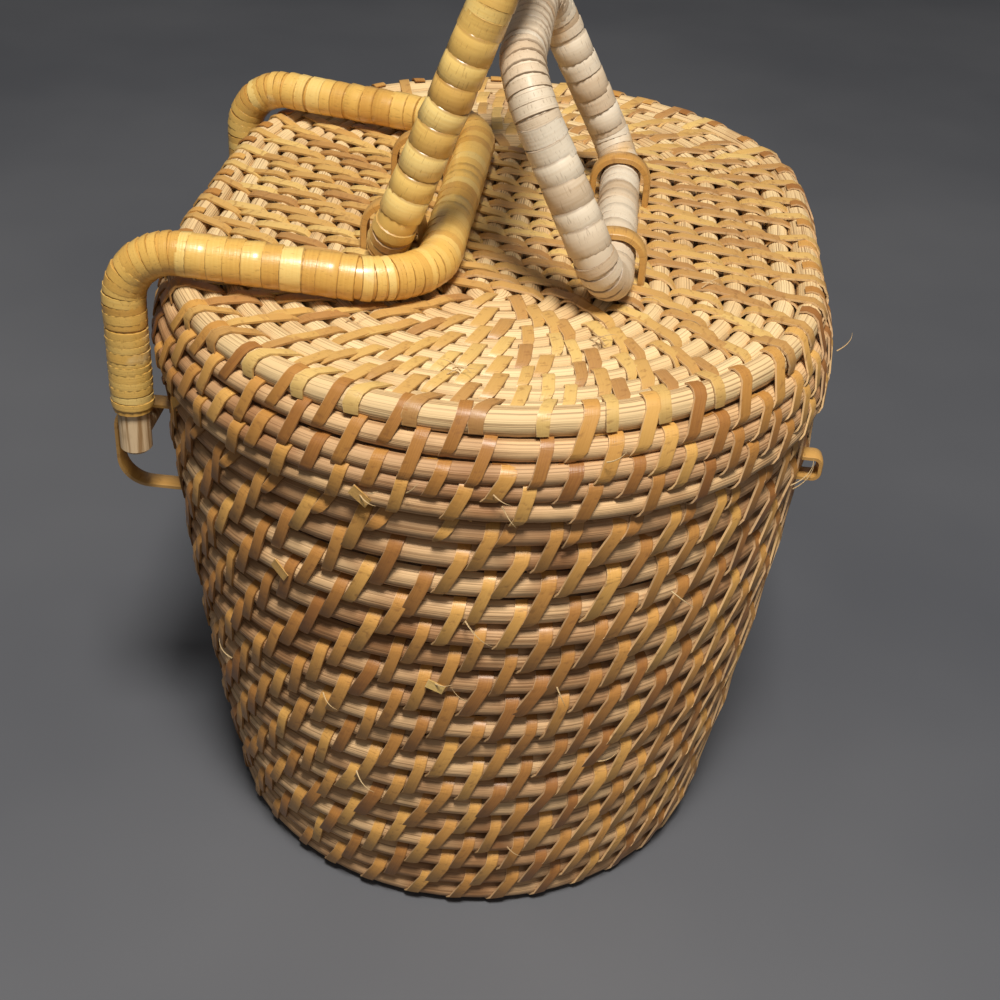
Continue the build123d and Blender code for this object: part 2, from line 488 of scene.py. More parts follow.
BODY_CANE = CaneFinish(
    name="body_cane",
    tones=((0.0, (0.33, 0.135, 0.035)), (0.3, (0.45, 0.205, 0.05)),
           (0.65, (0.57, 0.28, 0.07)), (1.0, (0.70, 0.385, 0.10))),
    # stronger painted shade on the lower ends of the wall's ties
    shade=0.6,
)
# Darker copy of the body's cane for the skirt: painted shade under the rim.
SHADED_SKIRT_CANE = CaneFinish(
    name="skirt_cane",
    tones=((0.0, (0.30, 0.12, 0.03)), (0.3, (0.43, 0.195, 0.046)),
           (0.65, (0.55, 0.275, 0.066)), (1.0, (0.66, 0.37, 0.10))),
)
LID_CANE = CaneFinish(
    name="lid_cane",
    tones=((0.0, (0.44, 0.225, 0.075)), (0.25, (0.55, 0.31, 0.095)),
           (0.65, (0.64, 0.39, 0.12)), (1.0, (0.73, 0.495, 0.17))),
)
LOOP_CANE = CaneFinish(
    name="loop_cane",
    tones=((0.0, (0.32, 0.14, 0.035)), (0.5, (0.50, 0.26, 0.065)), (1.0, (0.68, 0.42, 0.13))),
    gloss=0.5,
    roughness=0.34,
    shade=0.0,
    cut_share=0.0,
)
GOLDEN_WRAP = WrapFinish(
    name="golden_wrap",
    tones=((0.0, (0.60, 0.325, 0.07)), (0.4, (0.71, 0.425, 0.10)),
           (0.75, (0.76, 0.485, 0.13)), (1.0, (0.81, 0.57, 0.19))),
    seam=(0.28, 0.13, 0.03),
    worn=(0.80, 0.64, 0.36),
    worn_span=(0.66, 0.76),
    gloss=0.55,
    roughness=0.36,
)
# Brighter copy of the bail's golden wrap for the left ring: painted light where that ring faces the lamp.
LIT_RING_WRAP = replace(
    GOLDEN_WRAP,
    name="ring_wrap",
    tones=((0.0, (0.68, 0.40, 0.10)), (0.4, (0.79, 0.51, 0.14)),
           (0.75, (0.84, 0.57, 0.17)), (1.0, (0.88, 0.65, 0.24))),
)
PALE_WRAP = WrapFinish(
    name="pale_wrap",
    tones=((0.0, (0.51, 0.375, 0.24)), (0.3, (0.61, 0.485, 0.345)),
           (0.7, (0.67, 0.56, 0.42)), (1.0, (0.73, 0.64, 0.51))),
    seam=(0.17, 0.095, 0.045),
    worn=(0.60, 0.37, 0.14),
    worn_span=(0.68, 0.78),
    gloss=0.1,
    roughness=0.55,
)


@dataclass(frozen=True)
class Oval:
    """Level line of two straight sides and two round ends."""

    half_width: float
    straight_half: float
    height: float

    def length(self) -> float:
        """Length of the whole line."""
        return 4 * self.straight_half + 2 * math.pi * self.half_width

    def turn_at(self, distance: float) -> float:
        """Turn that lies a distance round from the middle of the right side.

        Args:
            distance: Distance round, counterclockwise seen from above.

        Returns:
            The turn: right side 0 to 1, far end 1 to 2, left side 2 to 3, near end 3 to 4.
        """
        side = 2 * self.straight_half
        end = math.pi * self.half_width
        rest = (distance + self.straight_half) % (2 * (side + end))
        for index, run in enumerate((side, end, side, end)):
            if rest <= run:
                return index + rest / run
            rest -= run
        return 0.0

    def place(self, turn: float) -> tuple[Vector, Vector]:
        """Point and outward direction at a turn.

        Args:
            turn: The turn, as turn_at gives it.

        Returns:
            The point and the level direction outward.
        """
        part = int(turn) % 4
        share = turn % 1.0
        if part % 2 == 0:
            facing = 1.0 if part == 0 else -1.0
            outward = Vector((facing, 0.0, 0.0))
            start = Vector((0.0, facing * self.straight_half * (2 * share - 1), self.height))
        else:
            angle = math.pi * (share + (0 if part == 1 else 1))
            outward = Vector((math.cos(angle), math.sin(angle), 0.0))
            facing = 1.0 if part == 1 else -1.0
            start = Vector((0.0, facing * self.straight_half, self.height))
        return start + outward * self.half_width, outward

    def at_share(self, share: float) -> tuple[Vector, Vector]:
        """Point and outward direction at a share of the way round."""
        return self.place(self.turn_at(share * self.length()))


@dataclass(frozen=True)
class RodRow:
    """One rod of the weave, bent round an oval and a little wavy.

    Each ripple gives its waves in a round, its shift from rod to rod and its share of the wave.
    """

    oval: Oval
    radius: float
    number: int
    wave: float = 0.28 * MM
    swell: float = 0.0
    sway: tuple[Triple, ...] = ((3, 1.7, 1.0), (7, 2.9, 0.6))
    lift: tuple[Triple, ...] = ((4, 2.3, 1.0), (9, 0.8, 0.5))

    def swell_at(self, turn: float) -> float:
        """How much thicker the rod is at a turn than at the middle of its ends."""
        bend = max(math.sin(math.pi * (turn % 2.0 - 1)), 0.0)
        return self.swell * (1 - bend)

    def radius_at(self, turn: float) -> float:
        """Radius of the rod at a turn."""
        return self.radius + self.swell_at(turn)

    def ripple(self, waves: tuple[Triple, ...], turn: float) -> float:
        """How far ripples move the rod at a turn."""
        phases = [(share, turns * turn * math.pi / 2 + shift * self.number) for turns, shift, share in waves]
        return self.wave * sum(share * math.sin(phase) for share, phase in phases)

    def centre(self, turn: float) -> Vector:
        """Middle of the rod.

        Args:
            turn: Where it is taken.

        Returns:
            The point.
        """
        point, outward = self.oval.place(turn)
        rise = self.ripple(self.lift, turn) - self.swell_at(turn)
        return point + outward * self.ripple(self.sway, turn) + UP * rise


def add_object(name: str, mesh: Mesh) -> Piece:
    """Object of a mesh, put in the scene at the origin.

    Args:
        name: The object's name.
        mesh: Its mesh.

    Returns:
        The object.
    """
    piece = bpy.data.objects.new(name, mesh)
    bpy.context.scene.collection.objects.link(piece)
    return piece


def mesh_of(name: str, points: list[Vector], faces: list[tuple[int, ...]]) -> Mesh:
    """Closed mesh with its faces turned outward and smooth.

    Args:
        name: The mesh's name.
        points: Its points.
        faces: Its faces.

    Returns:
        The mesh.
    """
    mesh = bpy.data.meshes.new(name)
    mesh.from_pydata([tuple(p) for p in points], [], faces)
    turn_outward(mesh)
    return mesh


def turn_outward(mesh: Mesh) -> None:
    """Turns a closed mesh's faces outward and shades them smooth between sharp edges.

    Args:
        mesh: The mesh.
    """
    work = bmesh.new()
    work.from_mesh(mesh)
    bmesh.ops.recalc_face_normals(work, faces=work.faces[:])
    for face in work.faces:
        face.smooth = True
    for edge in work.edges:
        edge.smooth = edge.calc_face_angle(0.0) < SHARP_ANGLE
    work.to_mesh(mesh)
    work.free()


def set_attribute(mesh: Mesh, name: str, values: list[Vector] | list[float]) -> None:
    """Stores a number or a vector for each point.

    Args:
        mesh: The mesh.
        name: The attribute's name.
        values: One value for each point.
    """
    if isinstance(values[0], float):
        mesh.attributes.new(name, "FLOAT", "POINT").data.foreach_set("value", values)
    else:
        flat = [part for value in values for part in value]
        mesh.attributes.new(name, "FLOAT_VECTOR", "POINT").data.foreach_set("vector", flat)


def strip_object(name: str, points: list[Vector], faces: list[tuple[int, ...]], marks: list[Vector]) -> Piece:
    """Object of cane, marked with the place across and along its strip.

    Args:
        name: The object's name.
        points: Its points.
        faces: Its faces.
        marks: Place across and along the strip at each point.

    Returns:
        The object.
    """
    mesh = mesh_of(name, points, faces)
    set_attribute(mesh, "strip", marks)
    return add_object(name, mesh)


class NodeShop:
    """Bench for a geometry node tree with named inputs."""

    def __init__(self, name: str, inputs: dict[str, str]) -> None:
        """Starts a tree.

        Args:
            name: The tree's name.
            inputs: Socket types of its inputs, by name.
        """
        self.tree = bpy.data.node_groups.new(name, "GeometryNodeTree")
        self.tree.interface.new_socket("Geometry", in_out="INPUT", socket_type="NodeSocketGeometry")
        self.names = {}
        for label, kind in inputs.items():
            socket = self.tree.interface.new_socket(label, in_out="INPUT", socket_type=kind)
            self.names[label] = socket.identifier
        self.tree.interface.new_socket("Geometry", in_out="OUTPUT", socket_type="NodeSocketGeometry")
        self.start = self.tree.nodes.new("NodeGroupInput")
        self.end = self.tree.nodes.new("NodeGroupOutput")

    def add(self, kind: str, feeds: dict[str, object], **settings: object) -> bpy.types.Node:
        """Adds a node and feeds its sockets.

        Args:
            kind: The node's type.
            feeds: Sockets or values for its inputs, by identifier.
            settings: Its own settings, by name.

        Returns:
            The node.
        """
        node = self.tree.nodes.new(kind)
        for name, value in settings.items():
            setattr(node, name, value)
        for identifier, value in feeds.items():
            socket = next(s for s in node.inputs if s.identifier == identifier)
            if isinstance(value, Socket):
                self.tree.links.new(value, socket)
            else:
                socket.default_value = value
        return node

    def named(self, name: str, kind: str) -> Socket:
        """Attribute of the points, by name."""
        node = self.add("GeometryNodeInputNamedAttribute", {"Name": name}, data_type=kind)
        return node.outputs["Attribute"]

    def finish(self, geometry: Socket) -> None:
        """Ends the tree in Realize Instances and Set Material.

        Args:
            geometry: The geometry that it ends with.
        """
        real = self.add("GeometryNodeRealizeInstances", {"Geometry": geometry})
        dressed = self.add("GeometryNodeSetMaterial",
                           {"Geometry": real.outputs[0], "Material": self.start.outputs["Finish"]})
        self.tree.links.new(dressed.outputs[0], self.end.inputs[0])

    def run(self, host: Piece, name: str, values: dict[str, object]) -> Piece:
        """Runs the tree on a host and keeps its result as a plain mesh.

        Args:
            host: The object that carries the lines or points. It is removed.
            name: The new piece's name.
            values: The tree's inputs, by name.

        Returns:
            The new piece.
        """
        modifier = host.modifiers.new(name, "NODES")
        modifier.node_group = self.tree
        for label, value in values.items():
            modifier[self.names[label]] = value
        graph = bpy.context.evaluated_depsgraph_get()
        made = host.evaluated_get(graph)
        mesh = bpy.data.meshes.new_from_object(made, preserve_all_data_layers=True, depsgraph=graph)
        host.modifiers.remove(modifier)
        bpy.data.objects.remove(host)
        turn_outward(mesh)
        return add_object(name, mesh)


class RodShop:
    """Geometry nodes that bend round rods along lines."""

    def __init__(self) -> None:
        """Builds the tree."""
        self.shop = NodeShop("bent_rods", {"Sides": "NodeSocketInt", "Finish": "NodeSocketMaterial"})
        shop = self.shop
        lines = shop.add("GeometryNodeMeshToCurve", {"Mesh": shop.start.outputs["Geometry"]})
        ring = shop.add("GeometryNodeCurvePrimitiveCircle",
                        {"Resolution": shop.start.outputs["Sides"], "Radius": 1.0})
        spot = shop.add("GeometryNodeInputPosition", {})
        marked = shop.add("GeometryNodeStoreNamedAttribute",
                          {"Geometry": ring.outputs["Curve"], "Name": "section", "Value": spot.outputs[0]},
                          data_type="FLOAT_VECTOR", domain="POINT")
        rods = shop.add("GeometryNodeCurveToMesh",
                        {"Curve": lines.outputs[0], "Profile Curve": marked.outputs[0],
                         "Scale": shop.named("thick", "FLOAT"), "Fill Caps": True})
        shop.finish(rods.outputs[0])

    def bend(self, name: str, lines: list[RodLine], finish: Material, sides: int = 12) -> Piece:
        """Makes one piece of rods.

        Args:
            name: The piece's name.
            lines: Points of each rod's middle, its radius at each, and whether it is closed.
            finish: Its material.
            sides: Sides of a rod.

        Returns:
            The piece.
        """
        points: list[Vector] = []
        edges: list[tuple[int, int]] = []
        thick: list[float] = []
        tint: list[float] = []
        chance = random.Random(name)
        for line, radii, closed in lines:
            first = len(points)
            points += line
            edges += [(first + i, first + i + 1) for i in range(len(line) - 1)]
            if closed:
                edges.append((len(points) - 1, first))
            thick += radii
            tint += [chance.random()] * len(line)
        mesh = bpy.data.meshes.new(name)
        mesh.from_pydata([tuple(p) for p in points], edges, [])
        set_attribute(mesh, "thick", thick)
        set_attribute(mesh, "tint", tint)
        return self.shop.run(add_object(f"{name}_lines", mesh), name, {"Sides": sides, "Finish": finish})


@dataclass(frozen=True)
class Spot:
    """Place, direction and size of one repeated shape."""

    origin: Vector
    side: Vector
    front: Vector
    stretch: Vector


class RepeatShop:
    """Geometry nodes that set a shape at each spot, a little unlike its neighbours."""

    def __init__(self) -> None:
        """Builds the tree."""
        self.shop = NodeShop("repeated_shapes", {
            "Shape": "NodeSocketObject",
            "Turn Play": "NodeSocketVector",
            "Size Play": "NodeSocketVector",
            "Seed": "NodeSocketInt",
            "Finish": "NodeSocketMaterial",
        })
        shop = self.shop
        facing = shop.add("FunctionNodeAxesToRotation",
                          {"Primary Axis": shop.named("front", "FLOAT_VECTOR"),
                           "Secondary Axis": shop.named("side", "FLOAT_VECTOR")},
                          primary_axis="Z", secondary_axis="X")
        jog = shop.add("FunctionNodeEulerToRotation", {"Euler": self.play("Turn Play", 0)})
        turned = shop.add("FunctionNodeRotateRotation",
                          {"Rotation": facing.outputs[0], "Rotate By": jog.outputs[0]},
                          rotation_space="LOCAL")
        grown = shop.add("ShaderNodeVectorMath",
                         {"Vector": (1.0, 1.0, 1.0), "Vector_001": self.play("Size Play", 1)},
                         operation="ADD")
        size = shop.add("ShaderNodeVectorMath",
                        {"Vector": shop.named("stretch", "FLOAT_VECTOR"), "Vector_001": grown.outputs[0]},
                        operation="MULTIPLY")
        shape = shop.add("GeometryNodeObjectInfo", {"Object": shop.start.outputs["Shape"]})
        set_out = shop.add("GeometryNodeInstanceOnPoints",
                           {"Points": shop.start.outputs["Geometry"], "Instance": shape.outputs["Geometry"],
                            "Rotation": turned.outputs[0], "Scale": size.outputs[0]})
        tint = shop.add("FunctionNodeRandomValue", {"Seed": self.seed(2)}, data_type="FLOAT")
        marked = shop.add("GeometryNodeStoreNamedAttribute",
                          {"Geometry": set_out.outputs[0], "Name": "tint", "Value": tint.outputs["Value"]},
                          data_type="FLOAT", domain="INSTANCE")
        shop.finish(marked.outputs[0])

    def seed(self, step: int) -> Socket:
        """Seed moved on by a step, so that each play differs."""
        feeds = {"Value": self.shop.start.outputs["Seed"], "Value_001": float(step)}
        return self.shop.add("ShaderNodeMath", feeds, operation="ADD").outputs[0]

    def play(self, label: str, step: int) -> Socket:
        """Random vector within an input's play either way.

        Args:
            label: The input's name.
            step: Step of the seed.

        Returns:
            The vector's socket.
        """
        most = self.shop.start.outputs[label]
        least = self.shop.add("ShaderNodeVectorMath", {"Vector": most, "Scale": -1.0}, operation="SCALE")
        feeds = {"Min": least.outputs[0], "Max": most, "Seed": self.seed(step)}
        node = self.shop.add("FunctionNodeRandomValue", feeds, data_type="FLOAT_VECTOR")
        return node.outputs["Value"]

    def set_out(self, name: str, shape: Piece, spots: list[Spot], finish: Material,
                turn_play: Triple, size_play: Triple, seed: int) -> Piece:
        """Makes one piece of repeated shapes.

        Args:
            name: The piece's name.
            shape: The shape to repeat.
            spots: Where it goes.
            finish: Its material.
            turn_play: Most turn either way about each axis, in radians.
            size_play: Most change of size either way along each axis.
            seed: Seed of the play.

        Returns:
            The piece.
        """
        mesh = bpy.data.meshes.new(name)
        mesh.from_pydata([tuple(spot.origin) for spot in spots], [], [])
        for label in ("side", "front", "stretch"):
            set_attribute(mesh, label, [getattr(spot, label) for spot in spots])
        values = {"Shape": shape, "Turn Play": Vector(turn_play), "Size Play": Vector(size_play),
                  "Seed": seed, "Finish": finish}
        return self.shop.run(add_object(f"{name}_spots", mesh), name, values)


@dataclass(frozen=True)
class CaneStrip:
    """Flat cane tie over two rods, wide where it comes up and drawn to a point where it goes down."""

    name: str
    pitch: float = 8.24 * MM
    upper_radius: float = 3.05 * MM
    lower_radius: float = 3.05 * MM
    width: float = 3.5 * MM
    thickness: float = 0.5 * MM
    slant: float = 0.27
    curl: float = -14.0
    upper_reach: float = 1.1
    lower_reach: float = 1.1
    upper_deg: tuple[float, ...] = (94.0, 68.0, 40.0, 10.0)
    lower_deg: tuple[float, ...] = (10.0, 38.0, 64.0, 90.0)
    tip_shares: tuple[float, ...] = (1.0, 0.9, 0.62, 0.2)
    section: tuple[Span, ...] = ((0.0, -0.5), (0.0, 0.5), (0.5, 0.62), (1.0, 0.5), (1.0, -0.5))

    def build(self) -> Piece:
        """Builds the strip that is repeated, with the crests of both rods at height nought.

        Returns:
            The strip's object.
        """
        points: list[Vector] = []
        marks: list[Vector] = []
        upper = [(1, self.upper_radius, self.upper_reach, turn, 1.0) for turn in self.upper_deg]
        lower = [(-1, self.lower_radius, self.lower_reach, turn, share)
                 for turn, share in zip(self.lower_deg, self.tip_shares)]
        stations = upper + lower
        for index, (rod, radius, reach, turn, share) in enumerate(stations):
            angle = math.radians(turn)
            normal = Vector((0.0, rod * math.sin(angle), math.cos(angle)))
            along = rod * (self.pitch / 2 + radius * reach * math.sin(angle))
            spot = Vector((0.0, along, radius * (math.cos(angle) - 1))) + normal * (self.thickness / 2)
            left = self.slant * spot.y + self.curl * spot.y ** 2 - self.width / 2
            for across, lift in self.section:
                aside = ACROSS * (left + across * share * self.width)
                points.append(spot + normal * (lift * self.thickness) + aside)
                marks.append(Vector((2 * across - 1, index / (len(stations) - 1), 0.0)))
        faces = ring_faces(len(stations), len(self.section), False)
        return strip_object(f"{self.name}_strip", points, faces, marks)


@dataclass(frozen=True)
class WrapTurn:
    """One turn of flat cane round a pole of unit radius, one edge lapped over the next turn."""

    sides: int = 16
    half_width: float = 0.55
    section: tuple[Span, ...] = ((-0.55, 0.90), (-0.49, 0.985), (0.0, 1.01), (0.45, 1.015), (0.55, 0.90))

    def build(self) -> Piece:
        """Builds the turn that is repeated.

        Returns:
            The turn's object.
        """
        points: list[Vector] = []
        marks: list[Vector] = []
        for step in range(self.sides):
            angle = 2 * math.pi * step / self.sides
            for height, reach in self.section:
                points.append(Vector((reach * math.cos(angle), reach * math.sin(angle), height)))
                marks.append(Vector((height / self.half_width, 0.5 - abs(step / self.sides - 0.5), 0.0)))
        return strip_object("wrap_turn", points, ring_faces(self.sides, len(self.section), True), marks)


def ring_faces(rings: int, ring_size: int, closed: bool) -> list[tuple[int, ...]]:
    """Faces that join rings of points, one after the other.

    Args:
        rings: Number of rings.
        ring_size: Points of a ring.
        closed: Whether the last ring joins the first, or both ends get a cap.

    Returns:
        The faces.
    """
    faces: list[tuple[int, ...]] = []
    for ring in range(rings if closed else rings - 1):
        after = (ring + 1) % rings
        for point in range(ring_size):
            beside = (point + 1) % ring_size
            faces.append((ring * ring_size + point, ring * ring_size + beside,
                          after * ring_size + beside, after * ring_size + point))
    if not closed:
        faces.append(tuple(range(ring_size)))
        faces.append(tuple(range((rings - 1) * ring_size, rings * ring_size)))
    return faces


@dataclass(frozen=True)
class LashedPair:
    """Two neighbouring rods and the cane ties over them."""

    upper: RodRow
    lower: RodRow
    face: Face
    strip: CaneStrip
    count: int = 0
    offset: float = 0.0
    spacing: float = 12.7 * MM
    one_side: bool = False
    play: float = 0.9 * MM

    def distances(self) -> list[float]:
        """Distances round at which the ties lie, evenly by count or by spacing.

        By spacing, they keep it along the sides and are fitted to the ends.

        Returns:
            The distances.
        """
        line = self.line()
        if self.count:
            return [(step + self.offset) * line.length() / self.count for step in range(self.count)]
        quarter = line.length() / 4
        places = [self.offset * self.spacing]
        while places[-1] + self.spacing < line.straight_half:
            places.append(places[-1] + self.spacing)
        last = places[-1]
        count = max(1, round((quarter - last) / self.spacing - self.offset))
        places += [last + (step + 1) * (quarter - last) / (count + self.offset) for step in range(count)]
        around = []
        for start in (0.0,) if self.one_side else (0.0, 2 * quarter):
            around += [start + place for place in places]
            around += [start - place for place in places if 0 < place < quarter - self.spacing / 4]
        return around

    def line(self) -> Oval:
        """Oval half way between the two rods."""
        pairs = zip(astuple(self.upper.oval), astuple(self.lower.oval))
        return Oval(*((upper + lower) / 2 for upper, lower in pairs))

    def spots(self, chance: random.Random, missing: float) -> list[Spot]:
        """Spots of the ties.

        Args:
            chance: Source of small shifts.
            missing: Share of the ties that are lost.

        Returns:
            The spots.
        """
        line = self.line()
        found = []
        for distance in self.distances():
            turn = line.turn_at(distance + chance.uniform(-self.play, self.play))
            if chance.random() >= missing:
                found.append(self.spot(turn))
        return found

    def spot(self, turn: float) -> Spot:
        """Spot of a tie, laid on the crests of both rods.

        Args:
            turn: Turn at which it lies.

        Returns:
            The spot.
        """
        high = self.upper.centre(turn)
        low = self.lower.centre(turn)
        outward = self.upper.oval.place(turn)[1]
        side = Vector((-outward.y, outward.x, 0.0)) * self.face.value
        front = side.cross(high - low).normalized()
        high_radius, low_radius = self.upper.radius_at(turn), self.lower.radius_at(turn)
        high_crest = high + front * high_radius
        low_crest = low + front * low_radius
        rise = high_crest - low_crest
        rise -= side * rise.dot(side)
        front = side.cross(rise).normalized()
        depth = (high_radius + low_radius) / (self.strip.upper_radius + self.strip.lower_radius)
        stretch = Vector((1.0, rise.length / self.strip.pitch, depth))
        return Spot((high_crest + low_crest) / 2, side, front, stretch)


def row_lines(rows: list[RodRow], end_steps: int = 40, side_steps: int = 8) -> list[RodLine]:
    """Lines of a list of rods.

    Args:
        rows: The rods.
        end_steps: Steps round each end.
        side_steps: Steps along each side.

    Returns:
        The line of each.
    """
    turns = []
    for part in range(4):
        steps = end_steps if part % 2 else side_steps
        turns += [part + step / steps for step in range(steps)]
    return [(list(map(row.centre, turns)), list(map(row.radius_at, turns)), True) for row in rows]


def thin_layer(middle: list[Span], half: float = 0.4 * MM) -> list[Span]:
    """Closed section of a thin layer.

    Args:
        middle: Half widths and heights of its middle.
        half: Half of its thickness.

    Returns:
        Half widths and heights of the section.
    """
    outer = [(width + half, height) for width, height in middle]
    inner = [(width - half, height) for width, height in middle]
    return outer + inner[::-1]


def oval_shell(name: str, outline: list[Span], straight_half: float) -> Mesh:
    """Closed shell that carries a closed half section round an oval.

    Args:
        name: The mesh's name.
        outline: Half widths and heights of the section.
        straight_half: Half length of the oval's sides.

    Returns:
        The mesh.
    """
    ovals = [Oval(width, straight_half, height) for width, height in outline]
    points = [oval.place(turn)[0] for turn in SHELL_TURNS for oval in ovals]
    return mesh_of(name, points, ring_faces(len(SHELL_TURNS), len(outline), True))


def oval_plate(name: str, half_width: float, straight_half: float, low: float, high: float) -> Mesh:
    """Flat oval plate.

    Args:
        name: The mesh's name.
        half_width: Half width of the plate.
        straight_half: Half length of its sides.
        low: Height of its underside.
        high: Height of its top.

    Returns:
        The mesh.
    """
    ovals = [Oval(half_width, straight_half, height) for height in (low, high)]
    points = [oval.place(turn)[0] for oval in ovals for turn in SHELL_TURNS]
    mesh = mesh_of(name, points, ring_faces(2, len(SHELL_TURNS), False))
    for polygon in mesh.polygons:
        polygon.use_smooth = False
    return mesh


def join_meshes(name: str, meshes: list[Mesh], finish: Material) -> Piece:
    """One piece from several meshes.

    Args:
        name: The piece's name.
        meshes: The meshes, which are removed.
        finish: Its material.

    Returns:
        The piece.
    """
    work = bmesh.new()
    for mesh in meshes:
        work.from_mesh(mesh)
        bpy.data.meshes.remove(mesh)
    joined = bpy.data.meshes.new(name)
    work.to_mesh(joined)
    work.free()
    joined.materials.append(finish)
    return add_object(name, joined)


def rounded_path(corners: list[Vector], radii: list[float], steps: int, closed: bool) -> BentPath:
    """Points of a path with rounded corners, each with the radius of its bend or nought.

    Args:
        corners: Its corners.
        radii: Radius at each corner, or at each inner corner of an open path.
        steps: Steps of each bend.
        closed: Whether the last corner joins the first.

    Returns:
        The points and their bend radii.
    """
    count = len(corners)
    inner = range(count) if closed else range(1, count - 1)
    points = [] if closed else [(corners[0], 0.0)]
    for index, radius in zip(inner, radii):
        corner = corners[index]
        back = (corners[index - 1] - corner).normalized()
        ahead = (corners[(index + 1) % count] - corner).normalized()
        turn = math.pi - back.angle(ahead)
        centre = corner + (back + ahead).normalized() * (radius / math.cos(turn / 2))
        start = corner + back * (radius * math.tan(turn / 2)) - centre
        for step in range(steps + 1):
            angle = turn * step / steps
            bend = radius if 0 < step < steps else 0.0
            points.append((centre + start * math.cos(angle) - back * (radius * math.sin(angle)), bend))
    if not closed:
        points.append((corners[-1], 0.0))
    return points


@dataclass
class Shops:
    """Benches and finishes that the sub-assemblies share."""

    rods: RodShop
    repeats: RepeatShop
    turn_shape: Piece
    made: dict[str, Material] = field(default_factory=dict)
    tie_turn_play: Triple = (0.02, 0.03, 0.08)
    tie_size_play: Triple = (0.14, 0.03, 0.03)

    def coat(self, finish: Finish) -> Material:
        """Material of a finish, made once.

        Args:
            finish: The finish.

        Returns:
            The material.
        """
        if finish.name not in self.made:
            self.made[finish.name] = finish.make()
        return self.made[finish.name]

    def lash(self, name: str, pairs: list[LashedPair], missing: float, finish: Material,
             seed: int) -> list[Piece]:
        """Lashes pairs of rods, a piece for each kind of strip.

        Args:
            name: Name of the weave.
            pairs: The pairs.
            missing: Share of the ties that are lost.
            finish: Material of the cane.
            seed: Seed of the small shifts.

        Returns:
            The pieces.
        """
        chance = random.Random(seed)
        pieces = []
        for strip in dict.fromkeys(pair.strip for pair in pairs):
            spots = [spot for pair in pairs if pair.strip == strip for spot in pair.spots(chance, missing)]
            shape = strip.build()
            pieces.append(self.repeats.set_out(f"{name}_lashing_{strip.name}", shape, spots, finish,
                                               self.tie_turn_play, self.tie_size_play, seed))
            bpy.data.objects.remove(shape)
        return pieces


@dataclass
class WrappedPole:
    """Bent pole wound with flat cane."""

    name: str
    path: BentPath
    closed: bool
    radius: float
    turn_width: float
    finish: WrapFinish
    seed: int
    tilt: float = 0.10
    bend_share: float = 0.5
    core_share: float = 0.93
    core_sides: int = 16
    width_play: Span = (0.82, 1.18)
    lap: float = 1.06
    turn_play: Triple = (0.05, 0.05, 3.0)
    size_play: Triple = (0.012, 0.012, 0.12)

    def build(self, shops: Shops) -> tuple[Piece, ...]:
        """Builds the pole and its windings.

        Args:
            shops: Shared benches and finishes.

        Returns:
            The pole's core and its winding.
        """
        material = shops.coat(self.finish)
        points = [point for point, _ in self.path]
        radii = [self.radius * self.core_share] * len(points)
        core = shops.rods.bend(f"{self.name}_pole", [(points, radii, self.closed)], material, self.core_sides)
        winding = shops.repeats.set_out(f"{self.name}_winding", shops.turn_shape, self.turns(), material,
                                        self.turn_play, self.size_play, self.seed)
        return core, winding

    def turns(self) -> list[Spot]:
        """Spots of the windings, closer together on the bends.

        Returns:
            The spots.
        """
        chance = random.Random(self.seed)
        line = list(self.path)
        if self.closed:
            line.append(self.path[0])
        spots = []
        carry = self.turn_width / 2
        for (start, start_bend), (end, end_bend) in zip(line, line[1:]):
            run = end - start
            step = self.turn_width * (self.bend_share if start_bend or end_bend else 1.0)
            while carry < run.length:
                width = step * chance.uniform(*self.width_play)
                spots.append(self.spot(start + run.normalized() * carry, run.normalized(), width))
                carry += width
            carry -= run.length
        return spots

    def spot(self, origin: Vector, axis: Vector, width: float) -> Spot:
        """Spot of one turn, tilted as a helix is.

        Args:
            origin: Its middle.
            axis: Direction of the pole there.
            width: Its width along the pole.

        Returns:
            The spot.
        """
        side = axis.cross(ALONG if abs(axis.dot(ALONG)) < 0.8 else ACROSS).normalized()
        tilted = Quaternion(side, self.tilt) @ axis
        return Spot(origin, side, tilted, Vector((self.radius, self.radius, width * self.lap)))


@dataclass
class CaneLoop:
    """Flat cane loop whose ends go into the weave, standing for one solid."""

    node: str
    corners: list[Span]
    along: float
    corner_radius: float
    width: float = 5.4 * MM
    thickness: float = 1.2 * MM
    bend_steps: int = 10
    mark_length: float = 2.5
    section: tuple[Span, ...] = (
        (-1.0, -0.5), (-1.0, 0.25), (-0.8, 0.5), (0.0, 0.6), (0.8, 0.5), (1.0, 0.25), (1.0, -0.5))

    def build(self, finish: Material, tint: float) -> Piece:
        """Builds the loop.

        Args:
            finish: Its material.
            tint: Its tone.

        Returns:
            The piece.
        """
        corners = [Vector((across, self.along, height)) for across, height in self.corners]
        path = [point for point, _ in rounded_path(corners, [self.corner_radius] * 2, self.bend_steps, False)]
        points: list[Vector] = []
        marks: list[Vector] = []
        for index, point in enumerate(path):
            run = path[min(index + 1, len(path) - 1)] - path[max(index - 1, 0)]
            outward = run.normalized().cross(ALONG)
            for side, lift in self.section:
                points.append(point + ALONG * (side * self.width / 2) + outward * (lift * self.thickness))
                marks.append(Vector((side, self.mark_length * index / len(path), 0.0)))
        faces = ring_faces(len(path), len(self.section), False)
        piece = strip_object(f"{self.node}_cane", points, faces, marks)
        set_attribute(piece.data, "tint", [tint] * len(points))
        piece.data.materials.append(finish)
        return piece


